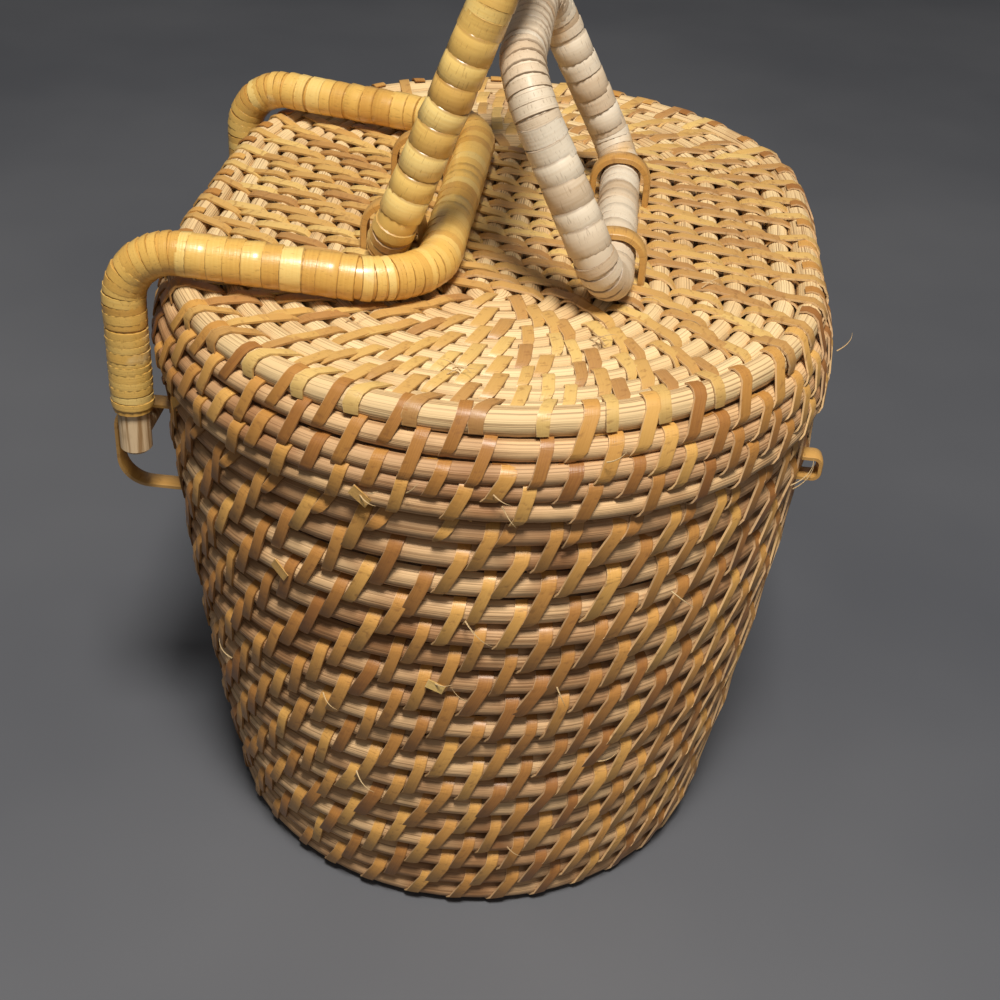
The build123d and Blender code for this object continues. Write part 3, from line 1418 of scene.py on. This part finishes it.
def put_on(piece: Piece, body: Body, slot: str, *nodes: str) -> None:
    """Sets a piece on its body, hides the solids that it stands for, and reports it.

    Args:
        piece: The piece.
        body: The body that carries it.
        slot: The record's material slot. Not used.
        nodes: Solids that it stands for.
    """
    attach(piece, body.value)
    if nodes:
        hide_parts(*nodes)
    LOG.info("%s: %d faces, on %s", piece.name, len(piece.data.polygons), body.value)


@dataclass
class BasketWeave:
    """Basket: wall of lashed rods, neck and coiled floor."""

    straight_half: float = 30.0 * MM
    wall_height: float = 148.3 * MM
    base_half_width: float = 74.0 * MM
    shoulder_half_width: float = 91.3 * MM
    bulge: float = 2.6 * MM
    row_count: int = 18
    rod_radius: float = 3.65 * MM
    crest_inset: float = 0.4 * MM
    lowest_rod: float = 5.0 * MM
    ties_round: int = 46
    tie_shift: float = 0.5
    tie_slant: float = 0.4
    neck_radius: float = 1.9 * MM
    neck_heights: tuple[float, ...] = (150.3 * MM, 154.3 * MM, 158.3 * MM)
    neck_half_widths: tuple[float, ...] = (86.2 * MM, 85.5 * MM, 84.8 * MM)
    floor_radius: float = 2.9 * MM
    floor_lift: float = 0.9 * MM
    floor_rows: int = 10
    floor_reach: float = 66.0 * MM
    floor_straight: float = 52.0 * MM
    floor_plate: Span = (1.5 * MM, 3.5 * MM)
    shade_sheet_foot: float = 1.0 * MM
    shade_sheet_steps: int = 12
    neck_number: int = 30
    floor_number: int = 60
    missing: float = 0.012
    seed: int = 11

    def wall_half_width(self, height: float) -> float:
        """Half width over the rods.

        Args:
            height: Height on the wall.

        Returns:
            The half width.
        """
        share = height / self.wall_height
        taper = self.base_half_width + (self.shoulder_half_width - self.base_half_width) * share
        return taper + self.bulge * 4 * share * (1 - share)

    def wall_rows(self) -> list[RodRow]:
        """Rods of the wall, from the base up.

        Returns:
            The rods.
        """
        rows = []
        for index in range(self.row_count):
            height = max((index + 0.5) * self.wall_height / self.row_count, self.lowest_rod)
            reach = self.wall_half_width(height) - self.rod_radius - self.crest_inset
            rows.append(RodRow(Oval(reach, self.straight_half, height), self.rod_radius, index))
        return rows

    def neck_rows(self) -> list[RodRow]:
        """Thin rods of the neck, from the shoulder up."""
        ovals = [Oval(width - self.neck_radius, self.straight_half, height)
                 for height, width in zip(self.neck_heights, self.neck_half_widths)]
        return [RodRow(oval, self.neck_radius, number, 0.0)
                for number, oval in enumerate(ovals, self.neck_number)]

    def floor_lines(self) -> list[RodRow]:
        """Rods of the coiled floor, from the middle out.

        Returns:
            The rods.
        """
        rows = []
        for index in range(self.floor_rows):
            share = (index + 0.5) / self.floor_rows
            straight = self.floor_straight + (self.straight_half - self.floor_straight) * share
            line = Oval(self.floor_reach * share, straight, self.floor_radius + self.floor_lift)
            rows.append(RodRow(line, self.floor_radius, self.floor_number + index, 0.0))
        return rows

    def pairs(self) -> list[LashedPair]:
        """Pairs of rods that are lashed, outside and inside.

        Returns:
            The pairs.
        """
        stack = self.wall_rows() + self.neck_rows()
        strips = {Face.OUTSIDE: CaneStrip("outer", slant=self.tie_slant), Face.INSIDE: CaneStrip("inner")}
        found = []
        for index, (lower, upper) in enumerate(zip(stack, stack[1:])):
            offset = -self.tie_shift * index
            for face, strip in strips.items():
                found.append(LashedPair(upper, lower, face, strip, self.ties_round, offset))
        floor = self.floor_lines()
        for index, (upper, lower) in enumerate(zip(floor, floor[1:])):
            found.append(LashedPair(upper, lower, Face.OUTSIDE, strips[Face.OUTSIDE], offset=(index % 2) / 2))
        return found

    def face_at(self, share: float, height: float) -> tuple[Vector, Vector]:
        """Point of the wall's outer face and the direction outward, at a share of the way round."""
        return Oval(self.wall_half_width(height), self.straight_half, height).at_share(share)

    def shade_sheet_outline(self) -> list[Span]:
        """Closed section of the thin dark sheet in the middle of the wall, painted shade seen through the
        gaps between rods.

        Returns:
            Its half widths and heights.
        """
        heights = [self.wall_height * step / self.shade_sheet_steps for step in range(self.shade_sheet_steps + 1)]
        heights[0] = self.shade_sheet_foot
        middle = [(self.wall_half_width(h) - self.rod_radius - self.crest_inset, h) for h in heights]
        middle += [(self.neck_half_widths[end] - self.neck_radius, self.neck_heights[end]) for end in (0, -1)]
        return thin_layer(middle)

    def build(self, shops: Shops) -> None:
        """Builds and dresses the basket.

        Args:
            shops: Shared benches and finishes.
        """
        rods = self.wall_rows() + self.neck_rows() + self.floor_lines()
        weave = shops.rods.bend("basket_rods", row_lines(rods), shops.coat(BODY_ROD))
        put_on(weave, Body.BASKET, "body_rattan", "basket_body")
        # Dark sheet in the wall and plate under the floor rods: painted shade behind the gaps between rods.
        shell = oval_shell("basket_shell", self.shade_sheet_outline(), self.straight_half)
        plate = oval_plate("basket_plate", self.floor_reach, self.straight_half, *self.floor_plate)
        shade_sheet = join_meshes("basket_lining", [shell, plate], shops.coat(WEAVE_SHADE_SHEET))
        put_on(shade_sheet, Body.BASKET, "body_rattan")
        for piece in shops.lash("basket", self.pairs(), self.missing, shops.coat(BODY_CANE), self.seed):
            put_on(piece, Body.BASKET, "body_rattan")


@dataclass
class LidWeave:
    """Lid: coiled top, thick rim rod and flaring skirt."""

    straight_half: float = 30.0 * MM
    coil_straight: float = 52.0 * MM
    top_height: float = 174.6 * MM
    top_rows: int = 12
    top_reach: float = 81.3 * MM
    top_radius: float = 2.5 * MM
    rim_half_width: float = 85.0 * MM
    rim_height: float = 172.0 * MM
    rim_radius: float = 3.6 * MM
    skirt_heights: tuple[float, ...] = (166.6 * MM, 161.4 * MM, 156.4 * MM, 151.4 * MM)
    skirt_half_widths: tuple[float, ...] = (91.0 * MM, 92.4 * MM, 93.1 * MM, 93.1 * MM)
    skirt_radius: float = 2.75 * MM
    top_swell: float = 0.55 * MM
    crest_inset: float = 0.4 * MM
    ties_round: int = 46
    rim_offset: float = 0.46
    skirt_offset: float = 0.84
    tie_shift: float = 0.38
    top_pitch: float = 6.0 * MM
    brim_pitch: float = 7.0 * MM
    brow_pitch: float = 7.4 * MM
    skirt_pitch: float = 5.4 * MM
    top_tie_reach: float = 1.65
    brim_deg: tuple[float, ...] = (10.0, 50.0, 88.0, 126.0)
    brim_shares: tuple[float, ...] = (1.0, 1.0, 1.0, 0.9)
    skirt_slant: float = 0.34
    top_wave: float = 0.2 * MM
    plate_lift: float = 0.9 * MM
    plate_thickness: float = 1.0 * MM
    top_number: int = 80
    rim_number: int = 100
    missing: float = 0.01
    top_seed: int = 23
    skirt_seed: int = 29

    def top_lines(self) -> list[RodRow]:
        """Rods of the top, from the middle out. The coil's ends lie closer together than its sides.

        Returns:
            The rods.
        """
        rows = []
        for index in range(self.top_rows):
            share = (index + 0.5) / self.top_rows
            straight = self.coil_straight + (self.straight_half - self.coil_straight) * share
            height = self.top_height - self.top_radius - self.crest_inset
            rows.append(RodRow(Oval(self.top_reach * share, straight, height), self.top_radius,
                               self.top_number + index, self.top_wave, self.top_swell))
        return rows

    def edge_rows(self) -> list[RodRow]:
        """Rim rod and skirt rods, from the rim down.

        Returns:
            The rods.
        """
        rim = RodRow(Oval(self.rim_half_width - self.crest_inset, self.straight_half, self.rim_height),
                     self.rim_radius, self.rim_number, self.top_wave)
        rows = [rim]
        for height, width in zip(self.skirt_heights, self.skirt_half_widths):
            line = Oval(width - self.skirt_radius - self.crest_inset, self.straight_half, height)
            rows.append(RodRow(line, self.skirt_radius, self.rim_number + len(rows)))
        return rows

    def top_pairs(self) -> list[LashedPair]:
        """Pairs of rods of the top that are lashed, with the last of them and the rim rod.

        Returns:
            The pairs.
        """
        top = self.top_lines()
        rim = self.edge_rows()[0]
        under = CaneStrip("under", self.top_pitch, self.top_radius, self.top_radius)
        over = replace(under, name="top", upper_reach=self.top_tie_reach, lower_reach=self.top_tie_reach)
        brim = CaneStrip("brim", self.brim_pitch, self.top_radius, self.rim_radius,
                         upper_reach=self.top_tie_reach, lower_deg=self.brim_deg, tip_shares=self.brim_shares)
        strips = {Face.OUTSIDE: over, Face.INSIDE: under}
        found = []
        for index, (upper, lower) in enumerate(zip(top, top[1:])):
            for face, strip in strips.items():
                found.append(LashedPair(upper, lower, face, strip, offset=(index % 2) / 2))
        found.append(LashedPair(top[-1], rim, Face.OUTSIDE, brim, self.ties_round))
        first = top[0].oval
        facing = replace(top[0], oval=replace(first, half_width=-first.half_width))
        for face, strip in strips.items():
            found.append(LashedPair(facing, top[0], face, strip, offset=0.5, one_side=True))
        return found

    def skirt_pairs(self) -> list[LashedPair]:
        """Pairs of rods from the rim down that are lashed, outside and inside.

        Returns:
            The pairs.
        """
        rows = self.edge_rows()
        brow = CaneStrip("brow", self.brow_pitch, self.rim_radius, self.skirt_radius, slant=self.skirt_slant)
        inner = CaneStrip("inner", self.skirt_pitch, self.skirt_radius, self.skirt_radius)
        outer = replace(inner, name="outer", slant=self.skirt_slant)
        found = [LashedPair(rows[0], rows[1], Face.OUTSIDE, brow, self.ties_round, self.rim_offset)]
        for index, (upper, lower) in enumerate(zip(rows[1:], rows[2:])):
            offset = self.skirt_offset + self.tie_shift * index
            for face, strip in ((Face.OUTSIDE, outer), (Face.INSIDE, inner)):
                found.append(LashedPair(upper, lower, face, strip, self.ties_round, offset))
        return found

    def face_at(self, share: float, height: float) -> tuple[Vector, Vector]:
        """Point of the skirt's outer face and the direction outward, at a share of the way round."""
        return Oval(self.skirt_half_widths[-1], self.straight_half, height).at_share(share)

    def shade_sheet_outline(self) -> list[Span]:
        """Closed section of the thin dark sheet in the middle of the skirt, painted shade seen through the
        gaps between rods.
        """
        return thin_layer([(row.oval.half_width, row.oval.height) for row in self.edge_rows()])

    def build(self, shops: Shops) -> None:
        """Builds and dresses the lid.

        Args:
            shops: Shared benches and finishes.
        """
        rim, *skirt = self.edge_rows()
        weave = shops.rods.bend("lid_rods", row_lines([*self.top_lines(), rim]), shops.coat(LID_ROD))
        put_on(weave, Body.LID, "lid_rattan", "lid")
        put_on(shops.rods.bend("skirt_rods", row_lines(skirt), shops.coat(SHADED_SKIRT_ROD)), Body.LID, "lid_rattan")
        # Dark sheet in the skirt and plate under the top rods: painted shade behind the gaps between rods.
        shell = oval_shell("lid_shell", self.shade_sheet_outline(), self.straight_half)
        low = self.top_height - 2 * self.top_radius + self.plate_lift
        high = low + self.plate_thickness
        plate = oval_plate("lid_plate", self.rim_half_width, self.straight_half, low, high)
        put_on(join_meshes("lid_lining", [shell, plate], shops.coat(WEAVE_SHADE_SHEET)), Body.LID, "lid_rattan")
        top_cane, skirt_cane = shops.coat(LID_CANE), shops.coat(SHADED_SKIRT_CANE)
        lashing = shops.lash("lid", self.top_pairs(), self.missing, top_cane, self.top_seed)
        lashing += shops.lash("skirt", self.skirt_pairs(), self.missing, skirt_cane, self.skirt_seed)
        for piece in lashing:
            put_on(piece, Body.LID, "lid_rattan")


@dataclass
class Handles:
    """Hasp bail and the two ring handles."""

    close_turns_below: float = 160.0 * MM
    pole_radius: float = 5.7 * MM
    pole_height: float = 180.65 * MM
    bail_across: float = -93.077 * MM
    bail_near: float = -66.0 * MM
    bail_far: float = 64.0 * MM
    cross: float = -13.9 * MM
    cross_near: float = -67.5 * MM
    cross_far: float = 52.0 * MM
    bail_rise: float = 3.0 * MM
    bail_foot: float = 136.5 * MM
    bail_radii: Span = (15.0 * MM, 20.0 * MM)
    left_place: Span = (-28.5 * MM, -6.0 * MM)
    left_half: float = 45.0 * MM
    left_height: float = 86.0 * MM
    left_radii: Span = (12.0 * MM, 17.0 * MM)
    left_lean_deg: float = 20.5
    right_place: Span = (31.0 * MM, -14.5 * MM)
    right_half: float = 47.5 * MM
    right_draw: float = 7.5 * MM
    right_height: float = 59.0 * MM
    right_radii: Span = (11.0 * MM, 17.0 * MM)
    rest_gap: float = 0.5 * MM
    bend_steps: int = 12
    bail_turn: float = 4.4 * MM
    left_turn: float = 6.0 * MM
    right_turn: float = 5.6 * MM
    bail_seed: int = 3
    left_seed: int = 7
    right_seed: int = 13

    def bail_path(self) -> BentPath:
        """Path of the bail from its near foot to its far foot.

        Returns:
            The path.
        """
        bend = self.pole_height + self.bail_rise
        corners = [
            Vector((self.bail_across, self.bail_near, self.bail_foot)),
            Vector((self.bail_across, self.bail_near, bend)),
            Vector((self.cross, self.cross_near, self.pole_height)),
            Vector((self.cross, self.cross_far, self.pole_height)),
            Vector((self.bail_across, self.bail_far, bend)),
            Vector((self.bail_across, self.bail_far, self.bail_foot)),
        ]
        path = rounded_path(corners, [*self.bail_radii, *self.bail_radii[::-1]], self.bend_steps, False)
        return [(point, max(bend, float(point.z < self.close_turns_below))) for point, bend in path]

    def ring_path(self, place: Span, half: float, draw: float, height: float,
                  radii: Span, lean_deg: float) -> BentPath:
        """Closed path of a ring that leans about its lower bar.

        Args:
            place: Place of the lower bar's middle.
            half: Half length of the lower bar.
            draw: How far each upper corner is drawn in.
            height: Height of the ring.
            radii: Radii of the lower and the upper corners.
            lean_deg: Lean to the right.

        Returns:
            The path.
        """
        turn = Matrix.Rotation(math.radians(lean_deg), 4, "Y")
        base = Vector((place[0], place[1], self.pole_height))
        flat = [Vector((0, -half, 0)), Vector((0, half, 0)), Vector((0, half - draw, height)),
                Vector((0, draw - half, height))]
        corners = [turn @ corner + base for corner in flat]
        return rounded_path(corners, [radii[0], radii[0], radii[1], radii[1]], self.bend_steps, True)

    def right_lean_deg(self) -> float:
        """Lean at which the right ring rests on the left one.

        Returns:
            The lean in degrees.
        """
        lean = math.radians(self.left_lean_deg)
        spacing = self.right_place[0] - self.left_place[0]
        apart = spacing * math.cos(lean) - 2 * self.pole_radius - self.rest_gap
        return math.degrees(math.asin(apart / self.right_height) - lean)

    def poles(self) -> list[tuple[WrappedPole, Body, str]]:
        """Wrapped poles with their bodies and slots.

        Returns:
            Each pole with its body and its slot.
        """
        left = self.ring_path(self.left_place, self.left_half, 0.0, self.left_height, self.left_radii,
                              self.left_lean_deg)
        right = self.ring_path(self.right_place, self.right_half, self.right_draw, self.right_height,
                               self.right_radii, -self.right_lean_deg())
        bail = self.bail_path()
        radius = self.pole_radius
        return [
            (WrappedPole("bail", bail, False, radius, self.bail_turn, GOLDEN_WRAP, self.bail_seed),
             Body.LID, "golden_wrap"),
            (WrappedPole("left_ring", left, True, radius, self.left_turn, LIT_RING_WRAP, self.left_seed),
             Body.LEFT_RING, "golden_wrap"),
            (WrappedPole("right_ring", right, True, radius, self.right_turn, PALE_WRAP, self.right_seed),
             Body.RIGHT_RING, "pale_wrap"),
        ]

    def build(self, shops: Shops) -> None:
        """Builds and dresses the handles and the bail's bare ends.

        Args:
            shops: Shared benches and finishes.
        """
        for pole, body, slot in self.poles():
            core, winding = pole.build(shops)
            put_on(core, body, slot, pole.name)
            put_on(winding, body, slot)
        bare = shops.coat(BARE_POLE)
        for name in ("bail_end_near", "bail_end_far"):
            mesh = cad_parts[name].data
            mesh.materials.clear()
            mesh.materials.append(bare)
            LOG.info("%s: bare pole, on lid", name)


@dataclass
class Loops:
    """Flat cane loops of the basket's sides and of the lid."""

    weave: BasketWeave
    handles: Handles
    cane_thickness: float = 1.2 * MM
    cane_root: float = 3.0 * MM
    pin_height: float = 128.1 * MM
    pin_radius: float = 3.2 * MM
    side_inset: float = 10.0 * MM
    side_height: float = 26.0 * MM
    side_radius: float = 8.0 * MM
    top_play: float = 1.0 * MM
    outer_play: float = 4.2 * MM
    spare_reach: float = 5.0 * MM
    spare_height: float = 6.5 * MM
    spare_drop: float = 11.0 * MM
    spare_radius: float = 2.0 * MM
    ring_side_play: float = 1.6 * MM
    ring_top_play: float = 0.8 * MM
    ring_arch_share: float = 0.9
    ring_thickness: float = 1.8 * MM
    ring_spacing_share: float = 0.58
    right_shift: float = 3.5 * MM
    lid_top: float = 174.6 * MM
    tints: dict[str, float] = field(default_factory=lambda: {"near": 0.62, "far": 0.5})

    def reach(self, height: float, along: float) -> float:
        """Half width of the wall at a height and a place along it."""
        beyond = max(abs(along) - self.weave.straight_half, 0.0)
        return math.sqrt(self.weave.wall_half_width(height) ** 2 - beyond ** 2)

    def wall_loop(self, node: str, facing: int, along: float, outer: float, high: float, low: float,
                  radius: float) -> CaneLoop:
        """Loop on the wall.

        Args:
            node: The solid's name.
            facing: -1 on the left side and 1 on the right.
            along: Its place along the basket.
            outer: How far out it reaches.
            high: Height of its upper end.
            low: Height of its lower end.
            radius: Radius of its corners.

        Returns:
            The loop.
        """
        high_root = self.reach(high, along) - self.cane_root
        low_root = self.reach(low, along) - self.cane_root
        places = [(high_root, high), (outer, high), (outer, low), (low_root, low)]
        return CaneLoop(node, [(facing * across, height) for across, height in places], along, radius)

    def side_loops(self) -> list[CaneLoop]:
        """Loops of the left side, which hold the bail's pins, and spare ones of the right side.

        Returns:
            The loops.
        """
        loops = []
        near = self.handles.bail_near + self.side_inset
        far = self.handles.bail_far - self.side_inset
        grip = self.pin_radius + self.cane_thickness / 2
        for end, along in (("near", near), ("far", far)):
            high = self.pin_height + grip + self.top_play
            low = high - self.side_height
            outer = abs(self.handles.bail_across) + grip + self.outer_play
            node = f"side_loop_left_{end}"
            loops.append(self.wall_loop(node, -1, along, outer, high, low, self.side_radius))
            high = self.weave.wall_height - self.spare_drop
            low = high - self.spare_height
            outer = self.reach(high, along) + self.spare_reach
            node = f"side_loop_right_{end}"
            loops.append(self.wall_loop(node, 1, along, outer, high, low, self.spare_radius))
        return loops

    def ring_loops(self) -> list[CaneLoop]:
        """Loops of the lid that hold the rings' lower bars.

        Returns:
            The loops.
        """
        handles = self.handles
        span = handles.pole_radius + self.ring_side_play + self.cane_thickness / 2
        high = handles.pole_height + handles.pole_radius + self.ring_top_play + self.cane_thickness / 2
        root = self.lid_top - self.cane_root
        rings = {
            "left": (handles.left_place[0], handles.left_place[1], handles.left_half),
            "right": (handles.right_place[0], handles.right_place[1] + self.right_shift, handles.right_half),
        }
        loops = []
        for ring, (place, middle, half) in rings.items():
            left, right = place - span, place + span
            corners = [(left, root), (left, high), (right, high), (right, root)]
            for end, facing in (("near", -1), ("far", 1)):
                along = middle + facing * half * self.ring_spacing_share
                loops.append(CaneLoop(f"ring_loop_{ring}_{end}", corners, along, span * self.ring_arch_share,
                                      thickness=self.ring_thickness))
        return loops

    def build(self, shops: Shops) -> None:
        """Builds and dresses the loops.

        Args:
            shops: Shared benches and finishes.
        """
        for body, loops in ((Body.BASKET, self.side_loops()), (Body.LID, self.ring_loops())):
            for loop in loops:
                tint = self.tints[loop.node.rsplit("_", 1)[1]]
                put_on(loop.build(shops.coat(LOOP_CANE), tint), body, "loop_cane", loop.node)


@dataclass(frozen=True)
class Fibre:
    """Loose fibre of a tie, bowed and thinning to its end."""

    start: Vector
    run: Vector
    bow: Vector
    radius: float = 0.17 * MM
    root_share: float = 1.2
    steps: int = 7

    def line(self) -> RodLine:
        """Line that the fibre is bent along.

        Returns:
            The line.
        """
        shares = [step / self.steps for step in range(self.steps + 1)]
        points = [self.start + self.run * share + self.bow * (4 * share * (1 - share)) for share in shares]
        return points, [self.radius * (self.root_share - share) for share in shares], False


@dataclass
class Frays:
    """Loose fibres and broken tie ends that wear has left on the wall, the skirt and the lid's top.

    A fibre of a wall gives its share of the way round, its height, and its run along, up and out.
    A fibre of the top gives its place and its run across, along and up. Both are in millimetres.
    """

    weave: BasketWeave
    lid: LidWeave
    wall_fibres: tuple[tuple[float, ...], ...] = (
        (0.756, 118.5, 7.0, -6.5, 1.0), (0.792, 95.5, 2.5, -6.0, 1.2), (0.834, 121.0, 7.0, -6.5, 1.5),
        (0.905, 132.0, 3.0, 8.0, 4.0), (0.912, 128.0, 3.0, 9.0, 3.5), (0.699, 82.0, 5.0, -3.0, 1.0),
        (0.712, 55.0, 6.0, -4.5, 1.2), (0.758, 91.0, -4.0, 5.0, 1.0), (0.816, 62.5, 5.0, 4.0, 1.4),
        (0.780, 30.0, 4.0, -3.0, 1.0), (0.640, 70.0, -4.0, 5.0, 1.6), (0.746, 96.0, 4.5, 1.5, 1.2),
    )
    skirt_fibres: tuple[tuple[float, ...], ...] = (
        (0.735, 156.0, 3.0, 4.0, 1.2), (0.763, 158.0, 4.0, -2.0, 1.0), (0.766, 155.0, 3.5, -5.0, 1.2),
        (0.799, 166.0, 4.0, 3.0, 1.2), (0.719, 153.0, 4.5, -1.5, 1.0), (0.722, 154.0, 3.0, 2.0, 1.4),
        (0.936, 163.0, 2.0, 5.0, 3.0),
    )
    top_fibres: tuple[tuple[float, ...], ...] = (
        (-5.0, -100.0, 7.0, 2.0, 0.8), (-2.0, -98.0, -6.0, 3.0, 1.0), (-4.0, -97.0, 5.0, -4.0, 1.2),
        (28.0, -77.0, 6.0, 3.0, 1.0), (31.0, -78.0, -5.0, 4.0, 1.0), (27.0, -75.0, 5.0, -3.0, 1.2),
        (55.0, -40.0, 7.0, 5.0, 1.5), (39.0, -50.0, 6.0, -4.0, 1.0), (-33.0, -78.0, 6.0, 4.0, 1.0),
    )
    wall_chips: tuple[Span, ...] = ((0.683, 119.5), (0.746, 95.0))
    skirt_chips: tuple[Span, ...] = ((0.719, 152.5),)
    chip_size: Triple = (5.2 * MM, 2.6 * MM, 0.5 * MM)
    chip_lean: Triple = (1.0, -0.5, 0.35)
    chip_turn_play: Triple = (0.1, 0.1, 0.2)
    chip_size_play: Triple = (0.1, 0.1, 0.0)
    chip_seed: int = 3
    fibre_sides: int = 5
    bow_share: float = 1 / 6
    lift: float = 0.4 * MM

    def wall_lines(self, owner: BasketWeave | LidWeave, rows: tuple[tuple[float, ...], ...]) -> list[RodLine]:
        """Lines of fibres on a wall.

        Args:
            owner: The weave that the wall belongs to.
            rows: The fibres.

        Returns:
            Their lines.
        """
        lines = []
        for share, height, along, up, out in rows:
            point, outward = owner.face_at(share, height * MM)
            side = Vector((-outward.y, outward.x, 0.0))
            run = (side * along + UP * up + outward * out) * MM
            bow = outward * (run.length * self.bow_share)
            lines.append(Fibre(point + outward * self.lift, run, bow).line())
        return lines

    def top_lines(self) -> list[RodLine]:
        """Lines of the fibres on the lid's top."""
        height = self.lid.top_height + self.lift
        return [Fibre(Vector((x * MM, y * MM, height)), Vector((across, along, up)) * MM, UP * MM).line()
                for x, y, across, along, up in self.top_fibres]

    def chip_spots(self, owner: BasketWeave | LidWeave, places: tuple[Span, ...]) -> list[Spot]:
        """Spots of broken tie ends on a wall.

        Args:
            owner: The weave that the wall belongs to.
            places: Their shares of the way round and heights.

        Returns:
            The spots.
        """
        spots = []
        for share, height in places:
            point, outward = owner.face_at(share, height * MM)
            side = Vector((-outward.y, outward.x, 0.0))
            along, up, out = self.chip_lean
            spots.append(Spot(point + outward * self.lift, side * along + UP * up + outward * out, outward,
                              Vector(self.chip_size)))
        return spots

    def build(self, shops: Shops) -> None:
        """Builds and dresses the fibres and the broken ends.

        Args:
            shops: Shared benches and finishes.
        """
        finish = shops.coat(LID_ROD)
        wall = self.wall_lines(self.weave, self.wall_fibres)
        put_on(shops.rods.bend("wall_fibres", wall, finish, self.fibre_sides), Body.BASKET, "body_rattan")
        lid = self.wall_lines(self.lid, self.skirt_fibres) + self.top_lines()
        put_on(shops.rods.bend("lid_fibres", lid, finish, self.fibre_sides), Body.LID, "lid_rattan")
        ring = ((-0.5, -0.5), (0.5, -0.5), (0.5, 0.5), (-0.5, 0.5))
        corners = [Vector((x, y, z)) for z in (-0.5, 0.5) for x, y in ring]
        marks = [2 * corner for corner in corners]
        shape = strip_object("chip", corners, ring_faces(2, len(ring), False), marks)
        for name, spots, body, slot in (
                ("wall_chips", self.chip_spots(self.weave, self.wall_chips), Body.BASKET, "body_rattan"),
                ("skirt_chips", self.chip_spots(self.lid, self.skirt_chips), Body.LID, "lid_rattan")):
            put_on(shops.repeats.set_out(name, shape, spots, shops.coat(LID_CANE), self.chip_turn_play,
                                         self.chip_size_play, self.chip_seed), body, slot)
        bpy.data.objects.remove(shape)


@dataclass
class Studio:
    """Floor, light and camera."""

    camera_place: Triple = (28.3 * MM, -405.3 * MM, 344.7 * MM)
    camera_lens: float = 54.0
    camera_sensor: float = 36.0
    pitch: float = 0.58648
    yaw: float = -0.06202
    roll: float = 0.06844
    floor_half: float = 4.0
    world_light: float = 0.14
    world_colour: Colour = (0.86, 0.855, 0.84)
    key_power: float = 29.0
    key_size: float = 0.32
    key_place: Triple = (0.1, -0.62, 1.48)
    fill_power: float = 0.9
    fill_size: float = 1.2
    fill_place: Triple = (0.5, -1.0, 0.5)
    key_colour: Colour = (1.0, 0.95, 0.87)
    fill_colour: Colour = (1.0, 0.97, 0.93)
    lamp_aim: Triple = (0.0, 0.0, 0.1)
    nearest_seen: float = 0.02

    def build(self) -> None:
        """Sets the floor, the lamps, the world and the camera."""
        self.lay_floor()
        self.hang_lamp("key_lamp", self.key_place, self.key_power, self.key_size, self.key_colour)
        self.hang_lamp("fill_lamp", self.fill_place, self.fill_power, self.fill_size, self.fill_colour)
        self.light_world()
        self.set_camera()
        bpy.context.scene.view_settings.view_transform = "Standard"

    def lay_floor(self) -> None:
        """Lays the floor under the basket."""
        half = self.floor_half
        corners = [(-half, -half, 0), (half, -half, 0), (half, half, 0), (-half, half, 0)]
        mesh = bpy.data.meshes.new("floor")
        mesh.from_pydata(corners, [], [tuple(range(len(corners)))])
        mesh.materials.append(STUDIO_FLOOR.make())
        add_object("floor", mesh)

    def hang_lamp(self, name: str, place: Triple, power: float, size: float,
                  colour: Colour) -> None:
        """Hangs a soft lamp that faces the basket.

        Args:
            name: The lamp's name.
            place: Its place.
            power: Its power in watts.
            size: Its side in metres.
            colour: Its colour.
        """
        light = bpy.data.lights.new(name, "AREA")
        light.energy = power
        light.size = size
        light.color = colour
        lamp = bpy.data.objects.new(name, light)
        bpy.context.scene.collection.objects.link(lamp)
        lamp.location = place
        aim = Vector(self.lamp_aim) - Vector(place)
        lamp.rotation_euler = aim.to_track_quat("-Z", "Y").to_euler()

    def light_world(self) -> None:
        """Lights the surroundings evenly."""
        world = bpy.data.worlds.new("studio")
        bpy.context.scene.world = world
        world.use_nodes = True
        back = world.node_tree.nodes["Background"]
        back.inputs["Color"].default_value = (*self.world_colour, 1.0)
        back.inputs["Strength"].default_value = self.world_light

    def set_camera(self) -> None:
        """Sets the camera where the picture was taken from."""
        level = Vector((math.cos(self.yaw), -math.sin(self.yaw), 0.0))
        heading = Vector((math.sin(self.yaw), math.cos(self.yaw), 0.0))
        ahead = heading * math.cos(self.pitch) - UP * math.sin(self.pitch)
        over = level.cross(ahead)
        right = level * math.cos(self.roll) + over * math.sin(self.roll)
        top = over * math.cos(self.roll) - level * math.sin(self.roll)
        data = bpy.data.cameras.new("camera")
        data.lens = self.camera_lens
        data.sensor_width = self.camera_sensor
        data.clip_start = self.nearest_seen
        camera = bpy.data.objects.new("camera", data)
        bpy.context.scene.collection.objects.link(camera)
        turn = Matrix((right, top, -ahead)).transposed().to_4x4()
        camera.matrix_world = Matrix.Translation(self.camera_place) @ turn
        bpy.context.scene.camera = camera


def main() -> None:
    """Builds the sub-assemblies in order and reports each piece."""
    logging.basicConfig(level=logging.INFO, format="%(message)s")
    shops = Shops(RodShop(), RepeatShop(), WrapTurn().build())
    Studio().build()
    weave = BasketWeave()
    weave.build(shops)
    lid = LidWeave()
    lid.build(shops)
    handles = Handles()
    handles.build(shops)
    Loops(weave, handles).build(shops)
    Frays(weave, lid).build(shops)
    bpy.data.objects.remove(shops.turn_shape)


if __name__ == "__main__":
    main()
